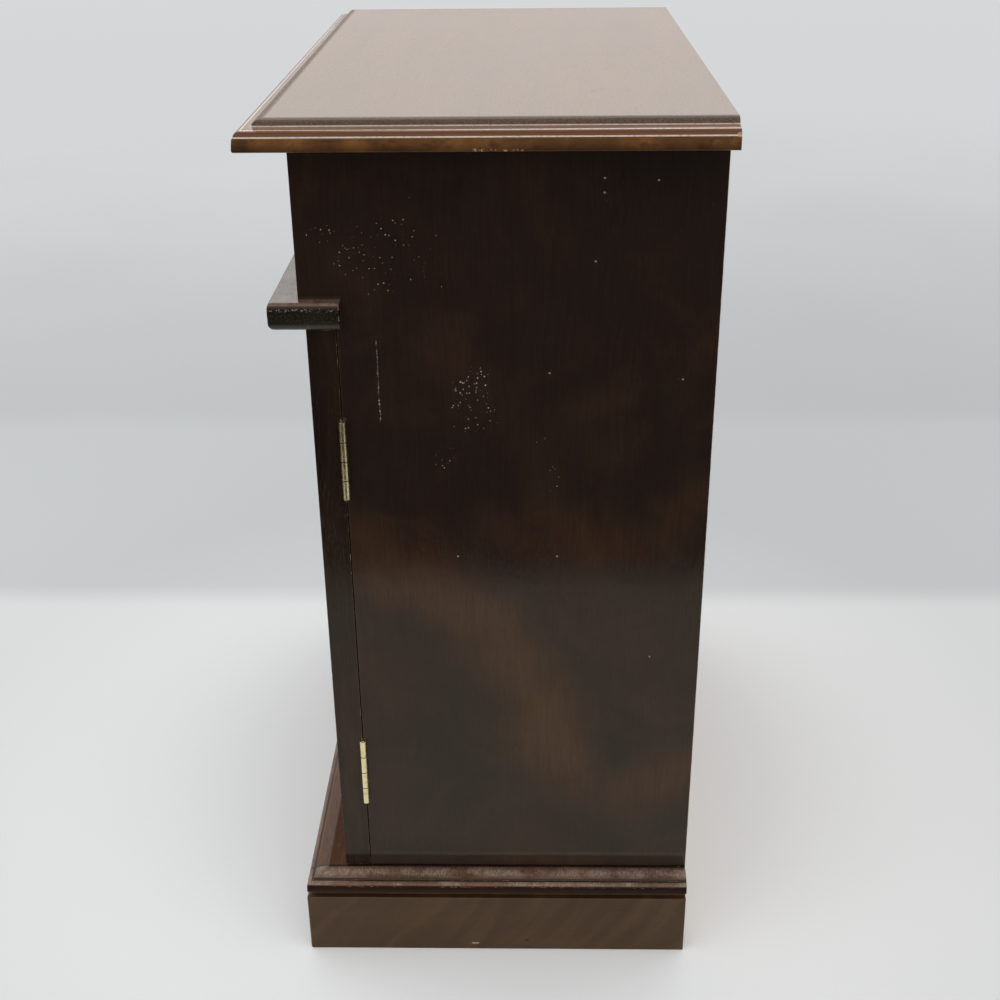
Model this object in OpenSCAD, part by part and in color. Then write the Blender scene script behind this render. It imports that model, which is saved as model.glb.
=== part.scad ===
// Desktop cabinet: moulded top board, frieze drawer, bullnose waist shelf and two panelled doors
// on brass butt hinges, standing on a moulded base board with a plinth.
// Millimetres. +X is the cabinet's right side as seen from the front, -Y the front, +Z up.
// The origin is the middle of the overall footprint, on the surface that the plinth stands on.

/* [Body] */
// Width over the two side panels
body_w = 306; // [270:2:360]
// Depth of the side panels above the waist shelf
body_d = 180; // [165:1:230]
// Height of the side panels, from the base board to the top board
body_h = 376.8; // [330:0.2:460]
// Thickness of each side panel
side_t = 12; // [11:0.5:15]
// Thickness of the plywood back panel
back_t = 4; // [3:0.5:6]
// Width of the rebate that the back panel sits in, at each side panel
rebate_w = 6; // [4:0.5:8]
// Depth of the housings that carry shelves and rails in the side panels
housing_d = 4; // [2:0.5:6]

/* [Top board] */
// Thickness of the top board
top_t = 11.5; // [10.5:0.5:16]
// Overhang of the top board in front of the side panels
top_front = 18; // [14:0.5:26]
// Overhang of the top board at each side
top_side = 21.5; // [14:0.5:28]
// Overhang of the top board behind the side panels
top_back = 1; // [0:0.5:6]
// Height of the plain face below the ovolo
top_face_h = 5.8; // [4:0.2:6.4]
// Reach of the ovolo, face edge to upper edge
top_ovolo = 2.5; // [1:0.1:2.6]
// Width of the flat fillet above the ovolo
top_fillet = 3.8; // [2:0.2:5]

/* [Waist shelf] */
// Thickness of the waist shelf
shelf_t = 12.7; // [10:0.1:16]
// How far the rounded edge stands in front of the side panels
shelf_front = 12.8; // [8:0.2:16]
// How far the ends stand out beyond the side panels
shelf_side = 5.4; // [3:0.2:9]
// Free height between the waist shelf and the top board
frieze_h = 66.7; // [58:0.1:90]
// Depth of the notch that lets the ends into the side panels, behind their lower front edges
shelf_notch = 2; // [1:0.5:6]

/* [Base] */
// Thickness of the base board, which is also the floor of the cupboard
base_t = 7.6; // [7:0.2:12]
// Overhang of the base board in front of the upper side panels
base_front = 17; // [14:0.5:18]
// Overhang of the base board at each side
base_side = 12.2; // [10:0.2:18]
// Height of the plinth boards
plinth_h = 39; // [30:1:60]
// Thickness of the plinth boards
plinth_t = 12; // [9:0.5:16]
// How far the plinth faces stand out past the base board in front
plinth_proud = 0.4; // [0:0.1:1]
// Height of the shadow rebate along the top of the plinth
shadow_h = 3.8; // [2:0.2:6]
// Depth of the shadow rebate
shadow_d = 3.2; // [1:0.2:5]
// Leg of the triangular corner blocks
block_leg = 20; // [14:1:30]
// Height of the corner blocks
block_h = 28; // [20:1:29]
// Width of the blunt tips of the corner blocks
block_tip = 3; // [1:0.5:6]

/* [Doors] */
// Thickness of the door frames
door_t = 12.9; // [12:0.1:16]
// How far the lower front edges of the side panels lie behind the upper ones
door_step = 15.85; // [14:0.05:18]
// Joint between the doors and the side panels' front edges
door_joint = 0.5; // [0.4:0.1:0.9]
// Gap above each door, below it and between the two
door_gap = 0.9; // [0.6:0.1:1.6]
// Width of the door stiles
stile_w = 34; // [30:1:44]
// Width of the top rails
rail_top_w = 34; // [30:1:50]
// Width of the bottom rails
rail_bottom_w = 40; // [30:1:60]
// Radius of the ovolo worked on the inner edges of the door frames
frame_ovolo = 2.8; // [1:0.2:3.2]
// Thickness of the fielded panels
panel_t = 7; // [6:0.5:8]
// Thickness of the tongue round each panel
tongue_t = 4; // [3:0.5:4.5]
// Width of the bevel round the raised field
bevel_w = 16; // [8:1:26]
// How far the raised fields lie behind the frame's face
field_sink = 1.4; // [0.8:0.1:2]
// Depth of the grooves for panels and tenons
groove_d = 6; // [4:0.5:8]

/* [Inner shelf] */
// Thickness of the shelf inside the cupboard
inner_t = 9; // [7:0.5:14]
// Distance from the side panels' lower front edges back to the inner shelf
inner_setback = 8; // [4:1:40]

/* [Drawer] */
// Thickness of the drawer front
front_t = 14; // [12:0.5:18]
// Thickness of the drawer sides and back
box_t = 8; // [6:0.5:10]
// Wood left in front of the lapped dovetails
lap_t = 4; // [3:0.5:6]
// Thickness of the drawer bottom
bottom_t = 3; // [3:0.5:5]
// Number of dovetails at each front corner
tails = 3; // [2:1:4]
// Running clearance at each side of the drawer
drawer_side_gap = 0.6; // [0.4:0.1:1.2]
// Running clearance under the drawer
drawer_under = 0.3; // [0.2:0.1:0.6]
// Clearance above the drawer front
drawer_over = 0.8; // [0.5:0.1:1.5]
// Distance from the upper front edge back to the drawer front
front_setback = 0.4; // [0:0.1:2]
// How much lower than the drawer front its sides are
side_drop = 7; // [4:0.5:12]
// Height of the drawer bottom above the lower edge of the sides
bottom_rise = 5; // [4:0.5:8]
// Depth of the grooves for the drawer bottom and back
bottom_groove = 4; // [2:0.5:5]
// Length of the drawer sides behind the drawer back
side_tail = 6; // [3:0.5:12]
// Depth of the drawer stops, front to back
stop_d = 6.7; // [5:0.1:14]
// Width of the drawer stops
stop_w = 20; // [12:1:40]
// Height of the drawer stops
stop_h = 9; // [6:0.5:14]
// Height of the two rails under the top board
rail_h = 10; // [8:0.5:14]
// Depth of the two rails, front to back
rail_d = 26; // [20:1:40]

/* [Hinges] */
// Length of each butt hinge
hinge_len = 38; // [30:1:50]
// Distance from a door's end to the middle of its hinge
hinge_inset = 61.5; // [45:0.5:90]
// Outer diameter of the rolled knuckles
barrel_d = 3.2; // [3:0.1:4]
// Diameter of the hinge pin
pin_d = 1.6; // [1.2:0.1:1.7]
// Thickness of the brass leaves
leaf_t = 0.9; // [0.7:0.1:1.1]
// Width of each leaf on the wood
leaf_w = 9.6; // [8:0.2:10.4]
// Number of knuckles on each hinge, shared by the two leaves in turn
knuckles = 4; // [4:1:5]

/* [Knobs and catch] */
// Largest diameter of the turned brass knobs
knob_d = 15; // [12:0.5:20]
// Reach of the knobs from the wood
knob_reach = 16; // [12:0.5:17]
// Height of the door knobs above the middle of the doors
knob_rise = 52; // [0:1:80]
// Width of the double magnetic catch
catch_w = 38; // [34:1:60]
// Height of the catch under the waist shelf
catch_h = 11; // [9:0.5:16]
// Depth of the catch, front to back
catch_d = 13; // [12:0.5:20]

/* [Hidden] */

$fn = 48;
// Overshoot that lets a cut pass cleanly through a face
over = 1;
// Clearance all round a glued or pinned joint
fit = 0.05;
// Running clearance round the hinge pin, between the knuckles and between closed leaves
pin_clear = 0.05;
knuckle_gap = 0.25;
leaf_gap = 0.1;

// Overall footprint, with the origin in its middle
reach_front = max(top_front, base_front + plinth_proud);
y_back = (reach_front + body_d - top_back) / 2;
y_front = y_back - body_d;
half_w = body_w / 2;
inner_half = half_w - side_t;

// Heights, from the ground up
z_base = plinth_h;
z_floor = plinth_h + base_t;
z_top = z_floor + body_h;
z_shelf = z_top - frieze_h;
z_shelf_under = z_shelf - shelf_t;

// Planes across the depth
y_step = y_front + door_step;
y_notch = y_step + shelf_notch;
y_door_back = y_step - door_joint;
y_door = y_door_back - door_t;
y_inner_back = y_back - back_t;
y_inner_shelf = y_step + inner_setback;

// The two rails under the top board, front and back
rail_back_of_face = 1;
rail_mid_y = [y_front + rail_back_of_face + rail_d / 2, y_inner_back - rail_d / 2];

// Plinth faces, and how far those at the sides lie inside the base board's ends
plinth_side_inset = 0.5;
plinth_half = half_w + base_side - plinth_side_inset;
y_plinth = y_front - base_front - plinth_proud;

// Doors
z_door0 = z_floor + door_gap;
z_door1 = z_shelf_under - door_gap;
x_meet = door_gap / 2;
open_x0 = x_meet + stile_w;
open_x1 = half_w - stile_w;
open_z0 = z_door0 + rail_bottom_w;
open_z1 = z_door1 - rail_top_w;
y_tongue = y_door + field_sink + panel_t - tongue_t;
y_panel_back = y_door + field_sink + panel_t;
// Step round the raised fields, and the play that lets a panel swell in its grooves
field_step = 0.9;
panel_play = 0.6;
z_inner_shelf = (z_floor + z_shelf_under - inner_t) / 2;

// Hinges: the axis lies outside the side face, in the middle of the door joint
barrel_gap = 0.15;
axis_x = half_w + barrel_d / 2 + barrel_gap;
axis_y = y_step - door_joint / 2;
leaf_recess = leaf_gap / 2 + leaf_t - door_joint / 2;
hinge_z = [z_door0 + hinge_inset, z_door1 - hinge_inset];
knuckle_len = (hinge_len - (knuckles - 1) * knuckle_gap) / knuckles;
leaf_screw_z = [-hinge_len * 0.29, hinge_len * 0.29];
leaf_screw_x = half_w - leaf_w / 2;

// Drawer
z_drawer = z_shelf + drawer_under;
z_rail = z_top - rail_h;
z_front1 = z_rail - drawer_over;
drawer_half = inner_half - drawer_side_gap;
y_drawer = y_front + front_setback;
stop_gap = 0.3;
y_drawer_end = y_inner_back - stop_d - stop_gap;
z_side1 = z_front1 - side_drop;
y_drawer_back = y_drawer_end - side_tail - box_t;
z_bottom = z_drawer + bottom_rise;
stop_x = drawer_half * 0.6;

// Dovetails: share of the pitch taken by a tail, and the slope of its sides as 1 in tail_slope
tail_pitch = (z_side1 - z_drawer) / tails;
tail_slope = 6;
tail_wide = tail_pitch * 0.72;
tail_narrow = tail_wide - 2 * (front_t - lap_t) / tail_slope;

// Screws as [shank diameter, head diameter, head height, length]
base_screw_bite = 20;
leaf_screw = [1.7, 3.3, 0.8, 8.5];
rail_screw = [3, 6, 2.2, rail_h + top_t * 0.6];
base_screw = [3.4, 6.8, 2.4, base_t + base_screw_bite];
catch_screw = [2.2, 4, 1.2, 11];
strike_screw = [1.7, 3.2, 0.7, 7];
pin_nail = [1.2, 2.4, 0.4, 13];

// Knob screws: diameter, head as [diameter, height], and how far they run into the knob
knob_screw_d = 3;
knob_screw_head = [6.4, 1.8];
knob_bite = 6;

// Magnetic catch and its strike plates
strike = [14, 10, 1];
strike_gap = 0.3;
catch_y0 = y_door_back + strike[2] + strike_gap;
catch_wall = 2;
magnet = [12, 9, 5.5];
magnet_x = catch_w / 2 - magnet[0] / 2 - catch_wall;
ear = [7, 3];
z_magnet = z_shelf_under - catch_h / 2 - 1;

// Places of the repeated fasteners
rail_screw_x = [-inner_half * 0.72, 0, inner_half * 0.72];
base_screw_inset = 24;
base_screw_y = [y_step + base_screw_inset, y_inner_back - base_screw_inset];
pin_inset = 18;
pin_side_z = [for (i = [0:3]) z_floor + pin_inset + i * (body_h - 2 * pin_inset) / 3];
pin_shelf_x = [-inner_half * 0.5, inner_half * 0.5];
pin_shelf_z = [z_shelf - shelf_t / 2, z_inner_shelf + inner_t / 2, z_top - rail_h / 2];
knob_x = x_meet + stile_w / 2;
knob_z = (z_door0 + z_door1) / 2 + knob_rise;

// Points on an elliptical arc round c, from angle a0 to a1
function arc(c, rx, ry, a0, a1, n = 6) =
    [for (i = [0:n]) let (a = a0 + (a1 - a0) * i / n) [c[0] + rx * cos(a), c[1] + ry * sin(a)]];

// Edge sections as [setback from the outermost plane, height], from the underside up
top_ovolo_h = 2.3;
top_fillet_rise = 0.8;
top_hollow_w = 3.4;
top_edge = concat(
    arc([1, 1], 1, 1, 270, 180, 4),
    [[0.35, top_face_h - 0.5], [0.9, top_face_h]],
    arc([0.9 + top_ovolo, top_face_h], top_ovolo, top_ovolo_h, 180, 90, 6),
    [[0.9 + top_ovolo + top_fillet, top_face_h + top_ovolo_h + top_fillet_rise]],
    arc([1.1 + top_ovolo + top_fillet + top_hollow_w, top_face_h + top_ovolo_h + top_fillet_rise],
        top_hollow_w, top_t - top_face_h - top_ovolo_h - top_fillet_rise, 180, 90, 5));
base_face_h = 3.9;
base_bead = 1.9;
base_torus = 5.4;
base_edge = concat(
    arc([0.6, 0.6], 0.6, 0.6, 270, 180, 3),
    [[0.1, base_face_h]],
    arc([0.3 + base_bead, base_face_h], base_bead, base_bead, 180, 90, 5),
    [[base_bead + 1.1, base_face_h + base_bead + 0.1]],
    arc([base_bead + 1.1 + base_torus, base_face_h + base_bead + 0.1],
        base_torus, base_t - base_face_h - base_bead - 0.1, 180, 90, 6));
shelf_edge = concat(
    arc([3.6, 3.9], 3.6, 3.9, 270, 180, 7),
    arc([1.4, shelf_t - 3.4], 1.4, 3.4, 180, 90, 6));

// Block between two corners
module block(a, b) {
    translate(a) cube(b - a);
}

// Board whose front and both ends carry an edge section, mitred where they meet; the back is square
module moulded_board(half, y0, y1, z0, edge) {
    t = edge[len(edge) - 1][1];
    intersection() {
        translate([-half, 0, z0]) rotate([90, 0, 90]) linear_extrude(2 * half)
            polygon(concat([for (p = edge) [y0 + p[0], p[1]]], [[y1, t], [y1, 0]]));
        translate([0, y1, z0]) rotate([90, 0, 0]) linear_extrude(y1 - y0)
            polygon(concat([for (p = edge) [-half + p[0], p[1]]],
                [for (i = [len(edge) - 1:-1:0]) [half - edge[i][0], edge[i][1]]]));
    }
}

// Upright panel from x0 to x1 and z0 to z1 whose four edges follow steps of [inset, depth behind y]
module four_edged(x0, x1, z0, z1, y, steps) {
    n = len(steps);
    intersection() {
        translate([0, 0, z0 - 20]) linear_extrude(z1 - z0 + 40)
            polygon(concat([for (p = steps) [x0 + p[0], y + p[1]]],
                [for (i = [n - 1:-1:0]) [x1 - steps[i][0], y + steps[i][1]]]));
        translate([x0 - 20, 0, 0]) rotate([90, 0, 90]) linear_extrude(x1 - x0 + 40)
            polygon(concat([for (p = steps) [y + p[1], z0 + p[0]]],
                [for (i = [n - 1:-1:0]) [y + steps[i][1], z1 - steps[i][0]]]));
    }
}

// Countersunk screw on the Z axis, head at z = 0, point down, and the hole that it needs
module screw(s) {
    difference() {
        rotate_extrude($fn = 32)
            polygon([[0, 0], [s[1] / 2, 0], [s[0] / 2, -s[2]], [s[0] / 2, -s[3] + s[0]], [0, -s[3]]]);
        translate([-s[1], -s[0] * 0.14, -s[2] * 0.45]) cube([2 * s[1], s[0] * 0.28, s[2]]);
    }
}
module screw_hole(s) {
    rotate_extrude($fn = 32)
        polygon([[0, over], [s[1] / 2 + fit, over], [s[1] / 2 + fit, 0], [s[0] / 2 + fit, -s[2]],
            [s[0] / 2 + fit, -s[3] + s[0]], [0, -s[3] - fit]]);
}
// Flat-headed panel pin and its hole, laid out in the same way
module nail(s) {
    rotate_extrude($fn = 24)
        polygon([[0, 0], [s[1] / 2, 0], [s[1] / 2, -s[2]], [s[0] / 2, -s[2]],
            [s[0] / 2, -s[3] + s[0]], [0, -s[3]]]);
}
module nail_hole(s) {
    rotate_extrude($fn = 24)
        polygon([[0, over], [s[1] / 2 + fit, over], [s[1] / 2 + fit, -s[2]], [s[0] / 2 + fit, -s[2]],
            [s[0] / 2 + fit, -s[3] + s[0]], [0, -s[3] - fit]]);
}

// Turning of children placed on the Z axis: head to the front, to the back, or head down
module head_front() {
    rotate([90, 0, 0]) children();
}
module head_back() {
    rotate([-90, 0, 0]) children();
}
module head_down() {
    rotate([180, 0, 0]) children();
}

// Places of each group of fasteners
module at_rail_screws(y) {
    for (x = rail_screw_x) translate([x, y, z_rail]) head_down() children();
}
module at_base_screws() {
    for (s = [-1, 1], y = base_screw_y)
        translate([s * (half_w - side_t / 2), y, z_base]) head_down() children();
}
module at_back_pins() {
    for (s = [-1, 1], z = pin_side_z)
        translate([s * (inner_half + rebate_w / 2), y_back, z]) head_back() children();
    for (x = pin_shelf_x, z = pin_shelf_z) translate([x, y_back, z]) head_back() children();
}
module at_frame_screws() {
    for (z = hinge_z, dz = leaf_screw_z)
        translate([leaf_screw_x, axis_y + leaf_gap / 2, z + dz]) head_front() children();
}
module at_door_leaf_screws() {
    for (z = hinge_z, dz = leaf_screw_z)
        translate([leaf_screw_x, axis_y - leaf_gap / 2, z + dz]) head_back() children();
}
module at_catch_screws() {
    for (s = [-1, 1])
        translate([s * (catch_w / 2 + ear[0] / 2), catch_y0 + catch_d / 2, z_shelf_under - ear[1]])
            head_down() children();
}
module at_strike_screw() {
    translate([magnet_x, y_door_back + strike[2], z_magnet]) head_back() children();
}

// Side panel: an outline with the step for the doors and the notch for the shelf, then its joints
module side_panel() {
    difference() {
        translate([inner_half, 0, 0]) rotate([90, 0, 90]) linear_extrude(side_t)
            polygon([[y_back, z_floor], [y_back, z_top], [y_front, z_top], [y_front, z_shelf],
                [y_notch, z_shelf], [y_notch, z_shelf_under], [y_step, z_shelf_under],
                [y_step, z_floor]]);
        block([inner_half - over, y_inner_back, z_floor - over],
            [inner_half + rebate_w, y_back + over, z_top + over]);
        block([inner_half - over, y_notch - over, z_shelf_under],
            [inner_half + housing_d, y_inner_back + over, z_shelf]);
        block([inner_half - over, y_inner_shelf, z_inner_shelf],
            [inner_half + housing_d, y_inner_back + over, z_inner_shelf + inner_t]);
        for (y = [y_front + rail_back_of_face, y_inner_back - rail_d])
            block([inner_half - over, y, z_rail], [inner_half + housing_d, y + rail_d, z_top + over]);
        for (z = hinge_z)
            block([half_w - leaf_w - fit, y_step - over, z - hinge_len / 2 - fit],
                [half_w + over, y_step + leaf_recess, z + hinge_len / 2 + fit]);
        at_frame_screws() screw_hole(leaf_screw);
        at_base_screws() screw_hole(base_screw);
        at_back_pins() nail_hole(pin_nail);
    }
}
module side_panel_right() {
    color([0.16, 0.09, 0.06]) side_panel();
}
module side_panel_left() {
    color([0.16, 0.09, 0.06]) mirror([1, 0, 0]) side_panel();
}

module top_board() {
    color([0.42, 0.26, 0.19]) difference() {
        moulded_board(half_w + top_side, y_front - top_front, y_back + top_back, z_top, top_edge);
        for (y = rail_mid_y) at_rail_screws(y) screw_hole(rail_screw);
    }
}

module back_panel() {
    color([0.30, 0.20, 0.13]) difference() {
        block([-inner_half - rebate_w + fit, y_inner_back, z_floor],
            [inner_half + rebate_w - fit, y_back, z_top]);
        at_back_pins() nail_hole(pin_nail);
    }
}

// The shelf's rounded edge runs along the front and back along both ends to the notches
module waist_shelf() {
    color([0.34, 0.21, 0.16]) difference() {
        union() {
            moulded_board(half_w + shelf_side, y_front - shelf_front, y_notch, z_shelf_under,
                shelf_edge);
            block([-inner_half - housing_d + fit, y_notch - over, z_shelf_under],
                [inner_half + housing_d - fit, y_inner_back, z_shelf]);
        }
        at_catch_screws() screw_hole(catch_screw);
        at_back_pins() nail_hole(pin_nail);
    }
}

module inner_shelf() {
    r = inner_t * 0.3;
    color([0.30, 0.19, 0.13]) difference() {
        translate([-inner_half - housing_d + fit, 0, z_inner_shelf]) rotate([90, 0, 90])
            linear_extrude(2 * (inner_half + housing_d - fit))
            polygon(concat(
                arc([y_inner_shelf + r, r], r, r, 270, 180, 5),
                arc([y_inner_shelf + r, inner_t - r], r, r, 180, 90, 5),
                [[y_inner_back, inner_t], [y_inner_back, 0]]));
        at_back_pins() nail_hole(pin_nail);
    }
}

module base_board() {
    color([0.36, 0.22, 0.16]) difference() {
        moulded_board(half_w + base_side, y_front - base_front, y_back, z_base, base_edge);
        at_base_screws() screw_hole(base_screw);
    }
}

// The two rails that the top board is screwed to
module top_rail(y) {
    difference() {
        block([-inner_half - housing_d + fit, y - rail_d / 2, z_rail],
            [inner_half + housing_d - fit, y + rail_d / 2, z_top]);
        at_rail_screws(y) screw_hole(rail_screw);
        at_back_pins() nail_hole(pin_nail);
    }
}
module top_rail_front() {
    color([0.30, 0.19, 0.13]) top_rail(rail_mid_y[0]);
}
module top_rail_back() {
    color([0.55, 0.42, 0.28]) top_rail(rail_mid_y[1]);
}

// Plinth: the outer faces run round the front and both sides, with a shadow rebate along the top
plinth_edge = concat(
    arc([0.8, 0.8], 0.8, 0.8, 270, 180, 4),
    arc([0.5, plinth_h - shadow_h - 0.5], 0.5, 0.5, 180, 90, 3),
    [[shadow_d, plinth_h - shadow_h], [shadow_d, plinth_h]]);
module plinth_ring() {
    difference() {
        moulded_board(plinth_half, y_plinth, y_back, 0, plinth_edge);
        block([-plinth_half + plinth_t, y_plinth + plinth_t, -over],
            [plinth_half - plinth_t, y_back - plinth_t, plinth_h + over]);
    }
}
// Wedge in plan that takes in everything in front of the two mitres
module front_of_mitres() {
    far = plinth_half + over;
    translate([0, 0, -over]) linear_extrude(plinth_h + 2 * over)
        polygon([[-far, y_plinth - over], [far, y_plinth - over],
            [plinth_half - plinth_t - over, y_plinth + plinth_t + over],
            [-plinth_half + plinth_t + over, y_plinth + plinth_t + over]]);
}
module plinth_side() {
    difference() {
        plinth_ring();
        front_of_mitres();
        block([-plinth_half - over, y_plinth - over, -over],
            [plinth_half - plinth_t, y_back + over, plinth_h + over]);
    }
}
module plinth_front() {
    color([0.30, 0.22, 0.17]) intersection() {
        plinth_ring();
        front_of_mitres();
    }
}
module plinth_right() {
    color([0.30, 0.22, 0.17]) plinth_side();
}
module plinth_left() {
    color([0.30, 0.22, 0.17]) mirror([1, 0, 0]) plinth_side();
}
module plinth_back() {
    color([0.26, 0.18, 0.13])
        block([-plinth_half + plinth_t, y_back - plinth_t, 0], [plinth_half - plinth_t, y_back, plinth_h]);
}
module plinth_corner_blocks() {
    color([0.62, 0.48, 0.32])
        for (sx = [-1, 1], c = [[y_plinth + plinth_t, 1], [y_back - plinth_t, -1]])
            translate([sx * (plinth_half - plinth_t), c[0], plinth_h - block_h])
                linear_extrude(block_h)
                polygon([[0, 0], [-sx * block_leg, 0], [-sx * block_leg, c[1] * block_tip],
                    [-sx * block_tip, c[1] * block_leg], [0, c[1] * block_leg]]);
}

module drawer_stops() {
    color([0.55, 0.42, 0.28]) for (s = [-1, 1])
        block([s * stop_x - stop_w / 2, y_drawer_end + stop_gap, z_shelf],
            [s * stop_x + stop_w / 2, y_inner_back, z_shelf + stop_h]);
}

module top_board_screws() {
    color([0.70, 0.70, 0.68]) for (y = rail_mid_y) at_rail_screws(y) screw(rail_screw);
}
module base_board_screws() {
    color([0.70, 0.70, 0.68]) at_base_screws() screw(base_screw);
}
module back_panel_pins() {
    color([0.60, 0.58, 0.54]) at_back_pins() nail(pin_nail);
}

// Double magnetic catch under the waist shelf, with an ear at each end for its screw
module catch_housing() {
    color([0.25, 0.16, 0.10]) difference() {
        union() {
            translate([0, catch_y0 + catch_d, z_shelf_under]) rotate([90, 0, 0])
                linear_extrude(catch_d)
                polygon(concat([[-catch_w / 2, 0]],
                    arc([-catch_w / 2 + catch_wall, -catch_h + catch_wall], catch_wall, catch_wall,
                        180, 270, 4),
                    arc([catch_w / 2 - catch_wall, -catch_h + catch_wall], catch_wall, catch_wall,
                        270, 360, 4),
                    [[catch_w / 2, 0]]));
            for (s = [-1, 1])
                block([s * (catch_w / 2 + ear[0] / 2) - ear[0] / 2, catch_y0 + 2, z_shelf_under - ear[1]],
                    [s * (catch_w / 2 + ear[0] / 2) + ear[0] / 2, catch_y0 + catch_d - 2, z_shelf_under]);
        }
        for (s = [-1, 1])
            block([s * magnet_x - magnet[0] / 2 - fit, catch_y0 - over, z_magnet - magnet[2] / 2 - fit],
                [s * magnet_x + magnet[0] / 2 + fit, catch_y0 + magnet[1], z_magnet + magnet[2] / 2 + fit]);
        at_catch_screws() screw_hole(catch_screw);
    }
}
module catch_magnets() {
    color([0.45, 0.45, 0.46]) for (s = [-1, 1])
        block([s * magnet_x - magnet[0] / 2, catch_y0, z_magnet - magnet[2] / 2],
            [s * magnet_x + magnet[0] / 2, catch_y0 + magnet[1], z_magnet + magnet[2] / 2]);
}
module catch_screws() {
    color([0.78, 0.62, 0.30]) at_catch_screws() screw(catch_screw);
}

// Hinge leaf: a plate let into the wood, with its own share of the knuckles rolled round the pin.
// side is 1 for the leaf behind the axis, on the case, and -1 for the one in front, on the door.
module hinge_leaf(z, side) {
    inner_y = axis_y + side * leaf_gap / 2;
    outer_y = axis_y + side * (leaf_gap / 2 + leaf_t);
    first = side == 1 ? 0 : 1;
    difference() {
        union() {
            block([half_w - leaf_w, min(inner_y, outer_y), z - hinge_len / 2],
                [half_w, max(inner_y, outer_y), z + hinge_len / 2]);
            for (i = [first:2:knuckles - 1]) {
                z1 = z + hinge_len / 2 - i * (knuckle_len + knuckle_gap);
                block([half_w - over, min(inner_y, outer_y), z1 - knuckle_len],
                    [axis_x, max(inner_y, outer_y), z1]);
                translate([axis_x, axis_y, z1 - knuckle_len]) cylinder(h = knuckle_len, d = barrel_d);
            }
        }
        translate([axis_x, axis_y, z - hinge_len / 2 - over])
            cylinder(h = hinge_len + 2 * over, d = pin_d + 2 * pin_clear);
        if (side == 1) at_frame_screws() screw_hole(leaf_screw);
        else at_door_leaf_screws() screw_hole(leaf_screw);
    }
}
module brass() {
    color([0.80, 0.66, 0.30]) children();
}
module upper_right_frame_leaf() {
    brass() hinge_leaf(hinge_z[1], 1);
}
module lower_right_frame_leaf() {
    brass() hinge_leaf(hinge_z[0], 1);
}
module upper_left_frame_leaf() {
    brass() mirror([1, 0, 0]) hinge_leaf(hinge_z[1], 1);
}
module lower_left_frame_leaf() {
    brass() mirror([1, 0, 0]) hinge_leaf(hinge_z[0], 1);
}
module upper_right_door_leaf() {
    brass() hinge_leaf(hinge_z[1], -1);
}
module lower_right_door_leaf() {
    brass() hinge_leaf(hinge_z[0], -1);
}
module upper_left_door_leaf() {
    brass() mirror([1, 0, 0]) hinge_leaf(hinge_z[1], -1);
}
module lower_left_door_leaf() {
    brass() mirror([1, 0, 0]) hinge_leaf(hinge_z[0], -1);
}
module hinge_pins() {
    color([0.72, 0.60, 0.30]) for (s = [-1, 1], z = hinge_z)
        translate([s * axis_x, axis_y, z - hinge_len / 2]) cylinder(h = hinge_len, d = pin_d);
}
module frame_leaf_screws() {
    brass() for (m = [0, 1]) mirror([m, 0, 0]) at_frame_screws() screw(leaf_screw);
}

// Door frame: the opening with its ovolo edge, and the groove round it, cut every frame piece alike
module door_opening() {
    four_edged(open_x0, open_x1, open_z0, open_z1, y_door,
        concat([[-frame_ovolo, -over], [-frame_ovolo, 0.5]],
            arc([-frame_ovolo, frame_ovolo + 0.5], frame_ovolo, frame_ovolo, 270, 360, 5),
            [[0, door_t + over]]));
}
module leaf_pockets() {
    for (z = hinge_z)
        block([half_w - leaf_w - fit, y_door_back - leaf_recess, z - hinge_len / 2 - fit],
            [half_w + over, y_door_back + over, z + hinge_len / 2 + fit]);
}
module door_stile(x0, x1, groove_x) {
    difference() {
        block([x0, y_door, z_door0], [x1, y_door_back, z_door1]);
        door_opening();
        block([groove_x, y_tongue - fit, z_door0 - over],
            [groove_x + groove_d, y_panel_back + fit, z_door1 + over]);
        leaf_pockets();
        at_door_leaf_screws() screw_hole(leaf_screw);
        at_knob() knob_hole();
        at_strike_screw() screw_hole(strike_screw);
    }
}
module door_rail(z0, z1, groove_z) {
    difference() {
        union() {
            block([open_x0, y_door, z0], [open_x1, y_door_back, z1]);
            block([open_x0 - groove_d + fit, y_tongue, z0], [open_x1 + groove_d - fit, y_panel_back, z1]);
        }
        door_opening();
        block([open_x0 - groove_d - over, y_tongue - fit, groove_z],
            [open_x1 + groove_d + over, y_panel_back + fit, groove_z + groove_d]);
    }
}
module door_panel() {
    grow = groove_d - panel_play;
    four_edged(open_x0 - grow, open_x1 + grow, open_z0 - grow, open_z1 + grow, y_door + field_sink,
        [[0, panel_t], [0, panel_t - tongue_t], [grow, panel_t - tongue_t],
            [grow + bevel_w, field_step], [grow + bevel_w, field_step / 3],
            [grow + bevel_w + field_step / 3, 0]]);
}
module hinge_stile() {
    door_stile(open_x1, half_w, open_x1);
}
module meeting_stile() {
    door_stile(x_meet, open_x0, open_x0 - groove_d);
}
module top_rail_of_door() {
    door_rail(open_z1, z_door1, open_z1);
}
module bottom_rail_of_door() {
    door_rail(z_door0, open_z0, open_z0 - groove_d);
}

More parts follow.
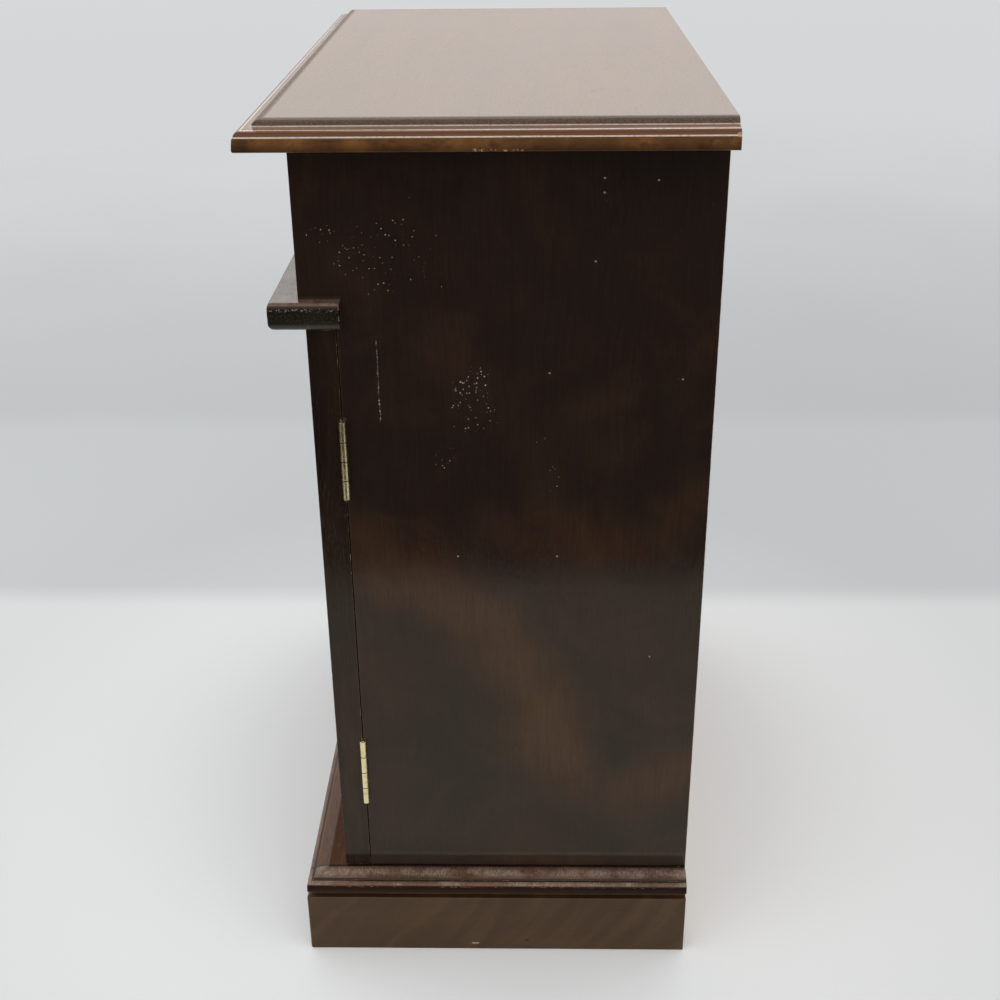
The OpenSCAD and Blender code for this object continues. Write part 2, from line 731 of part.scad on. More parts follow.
// Turned knob on the Z axis, foot at z = 0, and the machine screw that holds it from behind
module knob() {
    r = knob_d / 2;
    difference() {
        rotate_extrude()
            polygon(concat([[0, 0], [r * 0.72, 0], [r * 0.72, 1.1], [r * 0.6, 1.8], [r * 0.42, 2.5]],
                arc([r * 0.42 + 2.4, knob_reach * 0.38], 2.4, knob_reach * 0.38 - 2.5, 270, 180, 4),
                arc([r * 0.45, knob_reach * 0.72], r * 0.55, knob_reach * 0.28, -60, 90, 10),
                [[0, knob_reach]]));
        translate([0, 0, -over])
            cylinder(h = knob_bite + over, d = knob_screw_d + 2 * fit, $fn = 32);
    }
}
module knob_screw(grip) {
    translate([0, 0, -grip]) cylinder(h = grip + knob_bite - 0.5, d = knob_screw_d, $fn = 32);
    difference() {
        translate([0, 0, -grip - knob_screw_head[1]]) rotate_extrude($fn = 32)
            polygon(concat([[0, knob_screw_head[1]], [knob_screw_head[0] / 2, knob_screw_head[1]]],
                arc([0, knob_screw_head[1] * 0.6], knob_screw_head[0] / 2, knob_screw_head[1] * 0.6,
                    0, -90, 5)));
        translate([-5, -0.4, -grip - knob_screw_head[1] - over]) cube([10, 0.8, over + 0.8]);
    }
}
module knob_hole() {
    translate([0, 0, -front_t - door_t])
        cylinder(h = front_t + door_t + over, d = knob_screw_d + 0.4, $fn = 32);
}
module at_knob() {
    translate([knob_x, y_door, knob_z]) rotate([90, 0, 0]) children();
}
module at_drawer_knob() {
    translate([0, y_drawer, (z_drawer + z_front1) / 2]) rotate([90, 0, 0]) children();
}
module strike_plate() {
    color([0.62, 0.62, 0.62]) difference() {
        block([magnet_x - strike[0] / 2, y_door_back, z_magnet - strike[1] / 2],
            [magnet_x + strike[0] / 2, y_door_back + strike[2], z_magnet + strike[1] / 2]);
        at_strike_screw() screw_hole(strike_screw);
    }
}
module door_screws() {
    brass() at_door_leaf_screws() screw(leaf_screw);
    brass() at_strike_screw() screw(strike_screw);
}
module door_wood() {
    color([0.27, 0.14, 0.09]) children();
}
module right_door_hinge_stile() {
    door_wood() hinge_stile();
}
module right_door_meeting_stile() {
    door_wood() meeting_stile();
}
module right_door_top_rail() {
    door_wood() top_rail_of_door();
}
module right_door_bottom_rail() {
    door_wood() bottom_rail_of_door();
}
module right_door_panel() {
    door_wood() door_panel();
}
module right_door_knob() {
    brass() at_knob() knob();
}
module right_door_knob_screw() {
    color([0.70, 0.70, 0.68]) at_knob() knob_screw(door_t);
}
module right_door_strike_plate() {
    strike_plate();
}
module right_door_screws() {
    door_screws();
}
module left_door_hinge_stile() {
    mirror([1, 0, 0]) right_door_hinge_stile();
}
module left_door_meeting_stile() {
    mirror([1, 0, 0]) right_door_meeting_stile();
}
module left_door_top_rail() {
    mirror([1, 0, 0]) right_door_top_rail();
}
module left_door_bottom_rail() {
    mirror([1, 0, 0]) right_door_bottom_rail();
}
module left_door_panel() {
    mirror([1, 0, 0]) right_door_panel();
}
module left_door_knob() {
    mirror([1, 0, 0]) right_door_knob();
}
module left_door_knob_screw() {
    mirror([1, 0, 0]) right_door_knob_screw();
}
module left_door_strike_plate() {
    mirror([1, 0, 0]) strike_plate();
}
module left_door_screws() {
    mirror([1, 0, 0]) door_screws();
}

// Lapped dovetails: tails on the side's front end, widening towards the end of the side.
// grow adds the glue line when the same outline cuts the sockets.
module tail_outlines(grow) {
    for (i = [0:tails - 1]) {
        zc = z_drawer + tail_pitch * (i + 0.5);
        polygon([[y_drawer + lap_t - grow, zc - tail_wide / 2 - grow],
            [y_drawer + lap_t - grow, zc + tail_wide / 2 + grow],
            [y_drawer + front_t + over, zc + tail_narrow / 2 + grow],
            [y_drawer + front_t + over, zc - tail_narrow / 2 - grow]]);
    }
}
module drawer_side() {
    difference() {
        translate([drawer_half - box_t, 0, 0]) rotate([90, 0, 90]) linear_extrude(box_t) union() {
            tail_outlines(0);
            polygon([[y_drawer + front_t, z_drawer], [y_drawer + front_t, z_side1],
                [y_drawer_end - 3, z_side1], [y_drawer_end, z_side1 - 3], [y_drawer_end, z_drawer]]);
        }
        block([drawer_half - box_t - over, y_drawer, z_bottom - fit],
            [drawer_half - box_t + bottom_groove, y_drawer_end + over, z_bottom + bottom_t + fit]);
        block([drawer_half - box_t - over, y_drawer_back - fit, z_bottom + bottom_t],
            [drawer_half - box_t + bottom_groove, y_drawer_back + box_t + fit, z_side1 + over]);
    }
}
module drawer_side_right() {
    color([0.66, 0.50, 0.34]) drawer_side();
}
module drawer_side_left() {
    color([0.66, 0.50, 0.34]) mirror([1, 0, 0]) drawer_side();
}
module drawer_front() {
    color([0.27, 0.14, 0.09]) difference() {
        four_edged(-drawer_half, drawer_half, z_drawer, z_front1, y_drawer,
            concat([[0, front_t]], arc([1.2, 1.2], 1.2, 1.2, 180, 270, 4)));
        for (m = [0, 1]) mirror([m, 0, 0])
            translate([drawer_half - box_t - fit, 0, 0]) rotate([90, 0, 90])
                linear_extrude(box_t + fit + over) tail_outlines(fit);
        block([-drawer_half + box_t - bottom_groove, y_drawer + front_t - bottom_groove, z_bottom - fit],
            [drawer_half - box_t + bottom_groove, y_drawer + front_t + over, z_bottom + bottom_t + fit]);
        at_drawer_knob() knob_hole();
    }
}
module drawer_back() {
    color([0.66, 0.50, 0.34])
        block([-drawer_half + box_t - bottom_groove + fit, y_drawer_back, z_bottom + bottom_t + fit],
            [drawer_half - box_t + bottom_groove - fit, y_drawer_back + box_t, z_side1 - 4]);
}
module drawer_bottom() {
    color([0.70, 0.56, 0.38])
        block([-drawer_half + box_t - bottom_groove + fit, y_drawer + front_t - bottom_groove + fit, z_bottom],
            [drawer_half - box_t + bottom_groove - fit, y_drawer_back + box_t, z_bottom + bottom_t]);
}
module drawer_knob() {
    brass() at_drawer_knob() knob();
}
module drawer_knob_screw() {
    color([0.70, 0.70, 0.68]) at_drawer_knob() knob_screw(front_t);
}

top_board();
side_panel_right();
side_panel_left();
back_panel();
waist_shelf();
inner_shelf();
base_board();
top_rail_front();
top_rail_back();
plinth_front();
plinth_right();
plinth_left();
plinth_back();
plinth_corner_blocks();
drawer_stops();
top_board_screws();
base_board_screws();
back_panel_pins();
catch_housing();
catch_magnets();
catch_screws();
upper_right_frame_leaf();
lower_right_frame_leaf();
upper_left_frame_leaf();
lower_left_frame_leaf();
hinge_pins();
frame_leaf_screws();
right_door_hinge_stile();
right_door_meeting_stile();
right_door_top_rail();
right_door_bottom_rail();
right_door_panel();
right_door_knob();
right_door_knob_screw();
right_door_strike_plate();
upper_right_door_leaf();
lower_right_door_leaf();
right_door_screws();
left_door_hinge_stile();
left_door_meeting_stile();
left_door_top_rail();
left_door_bottom_rail();
left_door_panel();
left_door_knob();
left_door_knob_screw();
left_door_strike_plate();
upper_left_door_leaf();
lower_left_door_leaf();
left_door_screws();
drawer_front();
drawer_side_right();
drawer_side_left();
drawer_back();
drawer_bottom();
drawer_knob();
drawer_knob_screw();
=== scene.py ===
import math

import bpy
from mathutils import Matrix, Vector

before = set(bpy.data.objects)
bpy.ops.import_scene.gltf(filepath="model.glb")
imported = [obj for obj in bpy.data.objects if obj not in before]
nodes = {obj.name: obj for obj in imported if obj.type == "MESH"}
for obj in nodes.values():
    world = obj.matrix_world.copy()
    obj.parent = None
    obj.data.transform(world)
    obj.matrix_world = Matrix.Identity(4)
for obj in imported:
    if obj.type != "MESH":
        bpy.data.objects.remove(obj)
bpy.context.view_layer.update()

scene = bpy.context.scene
scene.view_settings.view_transform = "Standard"

# Planes of the cabinet in millimetres, as in its source
HALF_W = 153.0
INNER_HALF = 141.0
Y_BACK = 98.5
Z_BASE, Z_FLOOR = 39.0, 46.6
Z_SHELF_UNDER, Z_SHELF = 344.0, 356.7
Z_TOP, Z_END = 423.4, 434.9
SLAB_X, SLAB_Y = 174.5, -99.5
BASE_X, BASE_Y = 165.2, -98.5
HINGE_X, HINGE_Y = 154.75, -65.9
HINGE_Z = (109.0, 281.6)
KNUCKLE_STEP = 9.5

# Slab moulding: each arris as setback from the slab's edge and height over its underside,
# with the reach of its pale line, which is partly wear and partly a painted highlight
SLAB_ARRISES = (((0.9, 5.8), 0.12, 0.50), ((3.4, 8.1), 0.15, 0.60), ((7.2, 8.95), 0.12, 0.55))
SLAB_FLAT = 10.8

# Reflections off dark polish are a little warm
WARM = (1.0, 0.88, 0.70, 1.0)


# Shader building

class Shader:
    """A material's node tree, with short calls for the nodes that it is made of."""

    def __init__(self, name):
        self.material = bpy.data.materials.new(name)
        self.material.use_nodes = True
        self.tree = self.material.node_tree
        self.bsdf = self.tree.nodes["Principled BSDF"]

    def feed(self, socket, value):
        if isinstance(value, bpy.types.NodeSocket):
            self.tree.links.new(value, socket)
        elif value is not None:
            if socket.type == "RGBA" and len(value) == 3:
                value = (*value, 1.0)
            socket.default_value = value

    def put(self, kind, *inputs, named=None, **settings):
        node = self.tree.nodes.new("ShaderNode" + kind)
        for key, value in settings.items():
            setattr(node, key, value)
        for socket, value in zip(node.inputs, inputs):
            self.feed(socket, value)
        for key, value in (named or {}).items():
            self.feed(node.inputs[key], value)
        return node

    def math(self, operation, *inputs, clamp=False):
        return self.put("Math", *inputs, operation=operation, use_clamp=clamp).outputs[0]

    def add(self, *values):
        total = values[0]
        for value in values[1:]:
            total = self.math("ADD", total, value)
        return total

    def times(self, *values):
        total = values[0]
        for value in values[1:]:
            total = self.math("MULTIPLY", total, value)
        return total

    def over(self, value, low, high, start=0.0, end=1.0, smooth=True):
        """Rises from start to end as value goes from low to high."""
        kind = "SMOOTHSTEP" if smooth else "LINEAR"
        return self.put("MapRange", value, low, high, start, end, interpolation_type=kind).outputs[0]

    def within(self, value, low, high, edge):
        """1 between low and high, fading over edge on both sides."""
        return self.times(self.over(value, low - edge, low), self.over(value, high, high + edge, 1, 0))

    def mix(self, factor, a, b, blend="MIX"):
        node = self.put("Mix", data_type="RGBA", blend_type=blend)
        self.feed(node.inputs[0], factor)
        self.feed(node.inputs[6], a)
        self.feed(node.inputs[7], b)
        return node.outputs[2]

    def blend(self, factor, a, b):
        """Numbers a and b mixed by factor."""
        node = self.put("Mix", data_type="FLOAT")
        self.feed(node.inputs[0], factor)
        self.feed(node.inputs[2], a)
        self.feed(node.inputs[3], b)
        return node.outputs[0]

    def vector(self, x, y, z):
        return self.put("CombineXYZ", x, y, z).outputs[0]

    def scaled(self, vector, factors):
        return self.put("VectorMath", vector, factors, operation="MULTIPLY").outputs[0]

    def noise(self, vector, scale, detail=3.0, rough=0.5, distort=0.0):
        named = {"Vector": vector, "Scale": scale, "Detail": detail, "Roughness": rough,
                 "Distortion": distort}
        return self.put("TexNoise", named=named).outputs[0]

    def place(self):
        """The point's place at rest in millimetres, and its three parts."""
        place = self.scaled(self.put("TexCoord").outputs["Object"], (1000, 1000, 1000))
        parts = self.put("SeparateXYZ", place).outputs
        return place, parts[0], parts[1], parts[2]

    def worn_edge(self, radius):
        """0 on flat ground, rising towards 1 on the arrises of this piece alone."""
        rounded = self.put("Bevel", radius / 1000, samples=4).outputs[0]
        flat = self.put("NewGeometry").outputs["Normal"]
        cosine = self.put("VectorMath", rounded, flat, operation="DOT_PRODUCT").outputs["Value"]
        return self.over(cosine, 0.99, 0.8)

    def cells(self, vector, scale, stretch=(1, 1, 1)):
        """Distance to the nearest scattered point, in cells, and that point's own random number."""
        named = {"Vector": self.scaled(vector, stretch), "Scale": scale}
        node = self.put("TexVoronoi", named=named)
        return node.outputs["Distance"], self.put("SeparateColor", node.outputs["Color"]).outputs[0]

    def specks(self, vector, spacing, density, size=0.2, stretch=(1, 1, 1)):
        """Small ragged flecks about spacing mm apart, in the share density of the places."""
        torn = self.put("TexNoise", named={"Vector": vector, "Scale": 2.2, "Detail": 2.0})
        shift = self.scaled(torn.outputs["Color"], (0.9, 0.9, 0.9))
        moved = self.put("VectorMath", vector, shift, operation="ADD").outputs[0]
        distance, chance = self.cells(moved, 1 / spacing, stretch)
        grown = self.math("MULTIPLY_ADD", chance, size * 1.6, size * 0.5)
        mark = self.math("SUBTRACT", grown, distance)
        shown = self.math("LESS_THAN", self.cells(moved, 1 / spacing, stretch)[1], density)
        other = self.put("TexWhiteNoise", self.vector(chance, chance, chance))
        return self.times(self.over(mark, 0, 0.06), shown, self.over(other.outputs[0], 0.2, 0.5, 0.4, 1))

    def finish(self, colour, rough, height=None, depth=0.1, **constants):
        """Sets the surface. Constants go on the shader's own sockets."""
        self.feed(self.bsdf.inputs["Base Color"], colour)
        self.feed(self.bsdf.inputs["Roughness"], rough)
        for key, value in constants.items():
            self.feed(self.bsdf.inputs[key.replace("_", " ").title().replace("Ior", "IOR")], value)
        if height is not None:
            bump = self.put("Bump", named={"Strength": 1.0, "Distance": depth / 1000, "Height": height})
            self.feed(self.bsdf.inputs["Normal"], bump.outputs[0])
        return self.material


# Wood

def grain(s, place, axis, fine=1.0):
    """Streaks along an axis: broad tone, fibre and pores, each about 0 to 1."""
    def stretch(along, across):
        return tuple(along if i == axis else across for i in range(3))
    warp = s.put("TexNoise", named={"Vector": place, "Scale": 0.012, "Detail": 2.0}).outputs["Color"]
    bent = s.put("VectorMath", place, s.scaled(warp, (14, 14, 14)), operation="ADD").outputs[0]
    broad = s.noise(s.scaled(bent, stretch(0.12, 1)), 0.05 * fine, 3, 0.55)
    fibre = s.noise(s.scaled(bent, stretch(0.02, 1)), 0.9 * fine, 3, 0.6)
    pores = s.noise(s.scaled(bent, stretch(0.045, 1)), 2.6 * fine, 1, 0.5)
    return broad, fibre, s.over(pores, 0.60, 0.70)


def tones(s, base, dark, light, broad, fibre, pores, pore_colour, strength=1.0):
    """Mahogany colours from the grain: base, broad dark and light streaks, fibre and filled pores."""
    colour = s.mix(s.over(broad, 0.35, 0.7, 0, 0.9 * strength), dark, base)
    colour = s.mix(s.over(broad, 0.52, 0.8, 0, 0.8 * strength), colour, light)
    shade = s.over(fibre, 0.25, 0.75, 0.72, 1.24, smooth=False)
    colour = s.mix(1.0, colour, s.vector(shade, shade, shade), "MULTIPLY")
    return s.mix(s.times(pores, 0.55), colour, pore_colour)


def chips(s, place, edge, amount, scale=0.35):
    """Bare places along the arrises, in the share amount."""
    ragged = s.noise(place, scale, 5, 0.65)
    return s.over(s.math("ADD", s.times(edge, 0.42), ragged), 1.02 - amount, 1.09 - amount)


def near(s, y, z, centre, radii):
    """1 in an ellipse round centre on the side panel, fading to 0 at its rim."""
    dy = s.times(s.math("SUBTRACT", y, centre[0]), 1 / radii[0])
    dz = s.times(s.math("SUBTRACT", z, centre[1]), 1 / radii[1])
    reach = s.math("SQRT", s.add(s.times(dy, dy), s.times(dz, dz)))
    return s.over(reach, 0.45, 1.0, 1, 0)


def dot(s, a, b, centre, inner, outer):
    """1 within inner of a point in the plane of a and b, fading to 0 at outer."""
    da, db = s.math("SUBTRACT", a, centre[0]), s.math("SUBTRACT", b, centre[1])
    return s.over(s.math("SQRT", s.add(s.times(da, da), s.times(db, db))), inner, outer, 1, 0)


def segment_group():
    """Node group: distance in the YZ plane from a point to a segment, in millimetres."""
    group = bpy.data.node_groups.new("segment_distance", "ShaderNodeTree")
    for name in ("P", "A", "B"):
        group.interface.new_socket(name, in_out="INPUT", socket_type="NodeSocketVector")
    group.interface.new_socket("Distance", in_out="OUTPUT", socket_type="NodeSocketFloat")
    entry = group.nodes.new("NodeGroupInput")
    leave = group.nodes.new("NodeGroupOutput")

    def vector_math(operation, a, b, value=False):
        node = group.nodes.new("ShaderNodeVectorMath")
        node.operation = operation
        group.links.new(a, node.inputs[0])
        group.links.new(b, node.inputs[3 if operation == "SCALE" else 1])
        return node.outputs["Value" if value else "Vector"]

    run = vector_math("SUBTRACT", entry.outputs["B"], entry.outputs["A"])
    gone = vector_math("SUBTRACT", entry.outputs["P"], entry.outputs["A"])
    share = group.nodes.new("ShaderNodeMath")
    share.operation = "DIVIDE"
    share.use_clamp = True
    group.links.new(vector_math("DOT_PRODUCT", gone, run, True), share.inputs[0])
    group.links.new(vector_math("DOT_PRODUCT", run, run, True), share.inputs[1])
    foot = vector_math("SCALE", run, share.outputs[0])
    group.links.new(vector_math("DISTANCE", gone, foot, True), leave.inputs[0])
    return group


SEGMENT = segment_group()


def band(s, flat, points, inner, outer):
    """A soft band along a line of points on the side panel."""
    least = None
    for a, b in zip(points, points[1:]):
        node = s.put("Group", node_tree=SEGMENT)
        s.feed(node.inputs["P"], flat)
        node.inputs["A"].default_value = (0, *a)
        node.inputs["B"].default_value = (0, *b)
        least = node.outputs[0] if least is None else s.math("MINIMUM", least, node.outputs[0])
    return s.over(least, inner, outer, 1, 0)


# Light bands of the veneer's figure, as points in Y and Z
SWIRL = ((-26, 338), (5, 310), (22, 278), (31, 254), (48, 237), (75, 240), (94, 266))
LONG_BAND = ((-66, 237), (-28, 218), (-5, 197), (11, 170), (22, 150), (30, 118))
FAINT_BAND = ((-17, 369), (8, 356), (30, 343))
POND_PATCH = ((-3, 252), (14, 240))
LOW_BAND = ((45, 100), (70, 92), (92, 110))

# Scuffed places of a side panel: centre and radii in Y and Z, and the share of flecks
SCUFFS = (((-44, 374), (36, 24), 0.42), ((-70, 385), (10, 8), 0.45), ((-36, 388), (20, 7), 0.40),
          ((-50, 345), (14, 12), 0.16), ((-8, 318), (13, 15), 0.55), ((-8, 303), (17, 16), 0.42),
          ((20, 292), (8, 10), 0.35), ((28, 271), (4, 13), 0.45), ((-21, 282), (8, 12), 0.42),
          ((52, 404), (10, 12), 0.30), ((84, 321), (10, 7), 0.22), ((-60, 296), (14, 14), 0.16),
          ((26, 322), (7, 6), 0.30))

# Single knocks on a side panel, in Y and Z
KNOCKS = ((26, 323), (48, 408), (48, 402), (70, 407), (84, 320), (75, 177), (-16, 232), (30, 232),
          (45, 373))

# The long scratch beside the hinge: its place in Y and its ends in Z
SCRATCH_Y = -49.5
SCRATCH_Z = (303, 337)


def side_veneer(name, side):
    """Crotch mahogany veneer of a side panel, polished, scuffed and speckled."""
    s = Shader(name)
    place, x, y, z = s.place()
    seed = 0 if side > 0 else 400
    shifted = s.put("VectorMath", place, (0, seed, seed), operation="ADD").outputs[0]
    broad, fibre, pores = grain(s, shifted, 2)
    # Figure: swirled light bands round a dark pond
    warp = s.put("TexNoise", named={"Vector": shifted, "Scale": 0.035, "Detail": 3.0}).outputs["Color"]
    swirl = s.put("VectorMath", s.vector(0.0, y, z), s.scaled(warp, (0, 22, 22)), operation="ADD")
    flat = s.put("VectorMath", swirl.outputs[0], (0, -11, -11), operation="ADD").outputs[0]
    upper = band(s, flat, SWIRL, 0, 20)
    lower = band(s, flat, LONG_BAND, 0, 30)
    faint = band(s, flat, FAINT_BAND, 0, 14)
    patch = band(s, flat, POND_PATCH, 1, 16)
    right = band(s, flat, LOW_BAND, 2, 26)
    cloud = s.noise(shifted, 0.022, 4, 0.6, 0.6)
    figure = s.math("MAXIMUM", upper, s.times(faint, 0.45))
    figure = s.math("MAXIMUM", figure, s.times(patch, 0.6))
    figure = s.times(figure, s.over(z, 300, 225, 0.14, 0.40))
    figure = s.math("MAXIMUM", figure, s.times(lower, s.over(z, 226, 205, 0.5, 0.95)))
    figure = s.math("MAXIMUM", figure, s.times(right, 0.5))
    figure = s.add(s.times(figure, 0.66), s.over(cloud, 0.42, 0.75, 0, 0.20))
    figure = s.times(figure, s.over(s.noise(s.scaled(shifted, (1, 1, 0.2)), 0.2, 2, 0.5),
                                    0.2, 0.7, 0.75, 1.12))
    colour = s.mix(s.math("MINIMUM", figure, 1.0), (0.0160, 0.0104, 0.0086), (0.066, 0.031, 0.0135))
    ruddy = s.over(s.noise(shifted, 0.011, 2, 0.5), 0.4, 0.7, 0, 0.35)
    colour = s.mix(ruddy, colour, s.mix(1.0, colour, (1.25, 0.82, 0.86), "MULTIPLY"))
    shade = s.over(fibre, 0.25, 0.75, 0.86, 1.13, smooth=False)
    # Painted shadow line along the foot of the panel, where it stands on the base board
    shade = s.times(shade, s.over(z, Z_FLOOR + 0.9, Z_FLOOR + 1.5, 0.3, 1.0))
    colour = s.mix(1.0, colour, s.vector(shade, shade, shade), "MULTIPLY")
    colour = s.mix(s.times(pores, 0.3), colour, (0.008, 0.005, 0.004))
    # Painted light: a strip about a centimetre high at the foot of the panel is lightened
    colour = s.mix(s.within(z, Z_FLOOR + 1.6, Z_FLOOR + 9.0, 1.2), colour,
                   s.mix(1.0, colour, (0.010, 0.009, 0.006), "ADD"))
    # Pale flecks in the places where the polish is scuffed
    where = None
    for centre, radii, share in SCUFFS:
        share = s.times(near(s, y, z, centre, radii), share)
        where = share if where is None else s.math("MAXIMUM", where, share)
    where = s.add(s.times(where, 0.85), 0.002)
    flecks = s.math("MAXIMUM", s.specks(shifted, 1.15, where, 0.205, (1, 1, 0.8)),
                    s.specks(shifted, 2.4, s.times(where, 0.6), 0.14, (1, 0.8, 0.45)))
    for centre in KNOCKS:
        flecks = s.math("MAXIMUM", flecks, s.times(dot(s, y, z, centre, 0.2, 0.6), 0.5))
    # A broken scratch that runs down beside the hinge
    wander = s.times(s.noise(s.vector(0.0, 0.0, z), 0.12), -1.1)
    line = s.math("ABSOLUTE", s.add(y, -SCRATCH_Y, wander))
    broken = s.times(s.over(s.noise(s.vector(7.0, 0.0, z), 0.45, 4, 0.9), 0.42, 0.62),
                     s.over(s.noise(s.vector(3.0, y, z), 2.2, 2, 0.8), 0.40, 0.60),
                     s.over(z, 330, 318, 0.55, 1.0))
    scratch = s.times(s.over(line, 0.12, 0.36, 1, 0), broken, s.within(z, *SCRATCH_Z, 4))
    if side > 0:
        flecks = s.math("MAXIMUM", flecks, scratch)
    edge = s.worn_edge(0.7)
    bare = s.times(chips(s, shifted, edge, 0.15), s.over(y, Y_BACK - 6, Y_BACK - 2, 0.12, 1))
    outside = s.over(s.math("MULTIPLY", x, float(side)), INNER_HALF + 0.2, INNER_HALF + 0.6)
    scuffs = s.times(flecks, s.over(s.math("MULTIPLY", x, float(side)), HALF_W - 0.3, HALF_W - 0.1))
    colour = s.mix(s.times(scuffs, 0.88), colour, (0.57, 0.49, 0.39))
    rubbed = s.over(s.add(edge, s.times(s.noise(shifted, 0.12), 0.8)), 0.95, 1.5, 0, 0.5)
    colour = s.mix(rubbed, colour, (0.11, 0.055, 0.03))
    colour = s.mix(s.times(bare, 0.9), colour, (0.46, 0.33, 0.22))
    # Inside the cupboard: the same wood, stained and thinly finished
    inner = tones(s, (0.105, 0.05, 0.026), (0.07, 0.032, 0.017), (0.15, 0.08, 0.042),
                  broad, fibre, pores, (0.03, 0.014, 0.008))
    colour = s.mix(outside, inner, colour)
    smear = s.noise(s.scaled(shifted, (1, 1, 0.5)), 0.045, 4, 0.65)
    rough = s.add(s.over(smear, 0.3, 0.75, 0.07, 0.15), s.times(pores, 0.10), s.times(bare, 0.35),
                  s.times(scuffs, 0.3))
    rough = s.blend(outside, 0.48, rough)
    height = s.add(s.times(fibre, 0.16), s.times(pores, -0.45), s.times(bare, -1.6),
                   s.times(scuffs, -0.8), s.times(s.noise(shifted, 0.14, 2, 0.5), 0.6))
    return s.finish(colour, rough, height, 0.035, IOR=1.42, Specular_Tint=WARM)


def board(name, axis, base, dark, light, pore=(0.02, 0.010, 0.007), gloss=(0.2, 0.34), worn=0.10,
          worn_colour=(0.42, 0.29, 0.18), rub=0.5, rub_colour=(0.16, 0.075, 0.036), fine=1.0,
          depth=0.05, seed=0.0, ior=1.46, extra=None, strength=1.0, sheen=None):
    """A piece of polished solid wood with its grain along an axis."""
    s = Shader(name)
    place, x, y, z = s.place()
    shifted = s.put("VectorMath", place, (seed, seed * 1.7, seed * 0.6), operation="ADD").outputs[0]
    broad, fibre, pores = grain(s, shifted, axis, fine)
    colour = tones(s, base, dark, light, broad, fibre, pores, pore, strength)
    edge = s.worn_edge(0.7)
    bare = chips(s, shifted, edge, worn)
    rubbed = s.over(s.add(edge, s.times(s.noise(shifted, 0.10, 3), 0.9)), 0.9, 1.6, 0, rub)
    colour = s.mix(rubbed, colour, rub_colour)
    smear = s.noise(shifted, 0.04, 4, 0.6)
    rough = s.add(s.over(smear, 0.3, 0.75, *gloss), s.times(pores, 0.12), s.times(bare, 0.3))
    height = s.add(s.times(fibre, 0.3), s.times(pores, -0.8), s.times(bare, -1.0))
    state = {"s": s, "place": shifted, "x": x, "y": y, "z": z, "colour": colour, "rough": rough,
             "height": height, "bare": bare, "fibre": fibre, "broad": broad, "tint": WARM,
             "specular": 0.5}
    if extra:
        extra(state)
    colour = s.mix(s.times(state["bare"], 0.9), state["colour"], worn_colour)
    constants = {"IOR": ior, "Specular_Tint": state["tint"],
                 "Specular_IOR_Level": state["specular"]}
    if sheen:
        constants.update(Sheen_Weight=sheen[0], Sheen_Roughness=sheen[1], Sheen_Tint=sheen[2])
    return s.finish(colour, state["rough"], state["height"], depth, **constants)


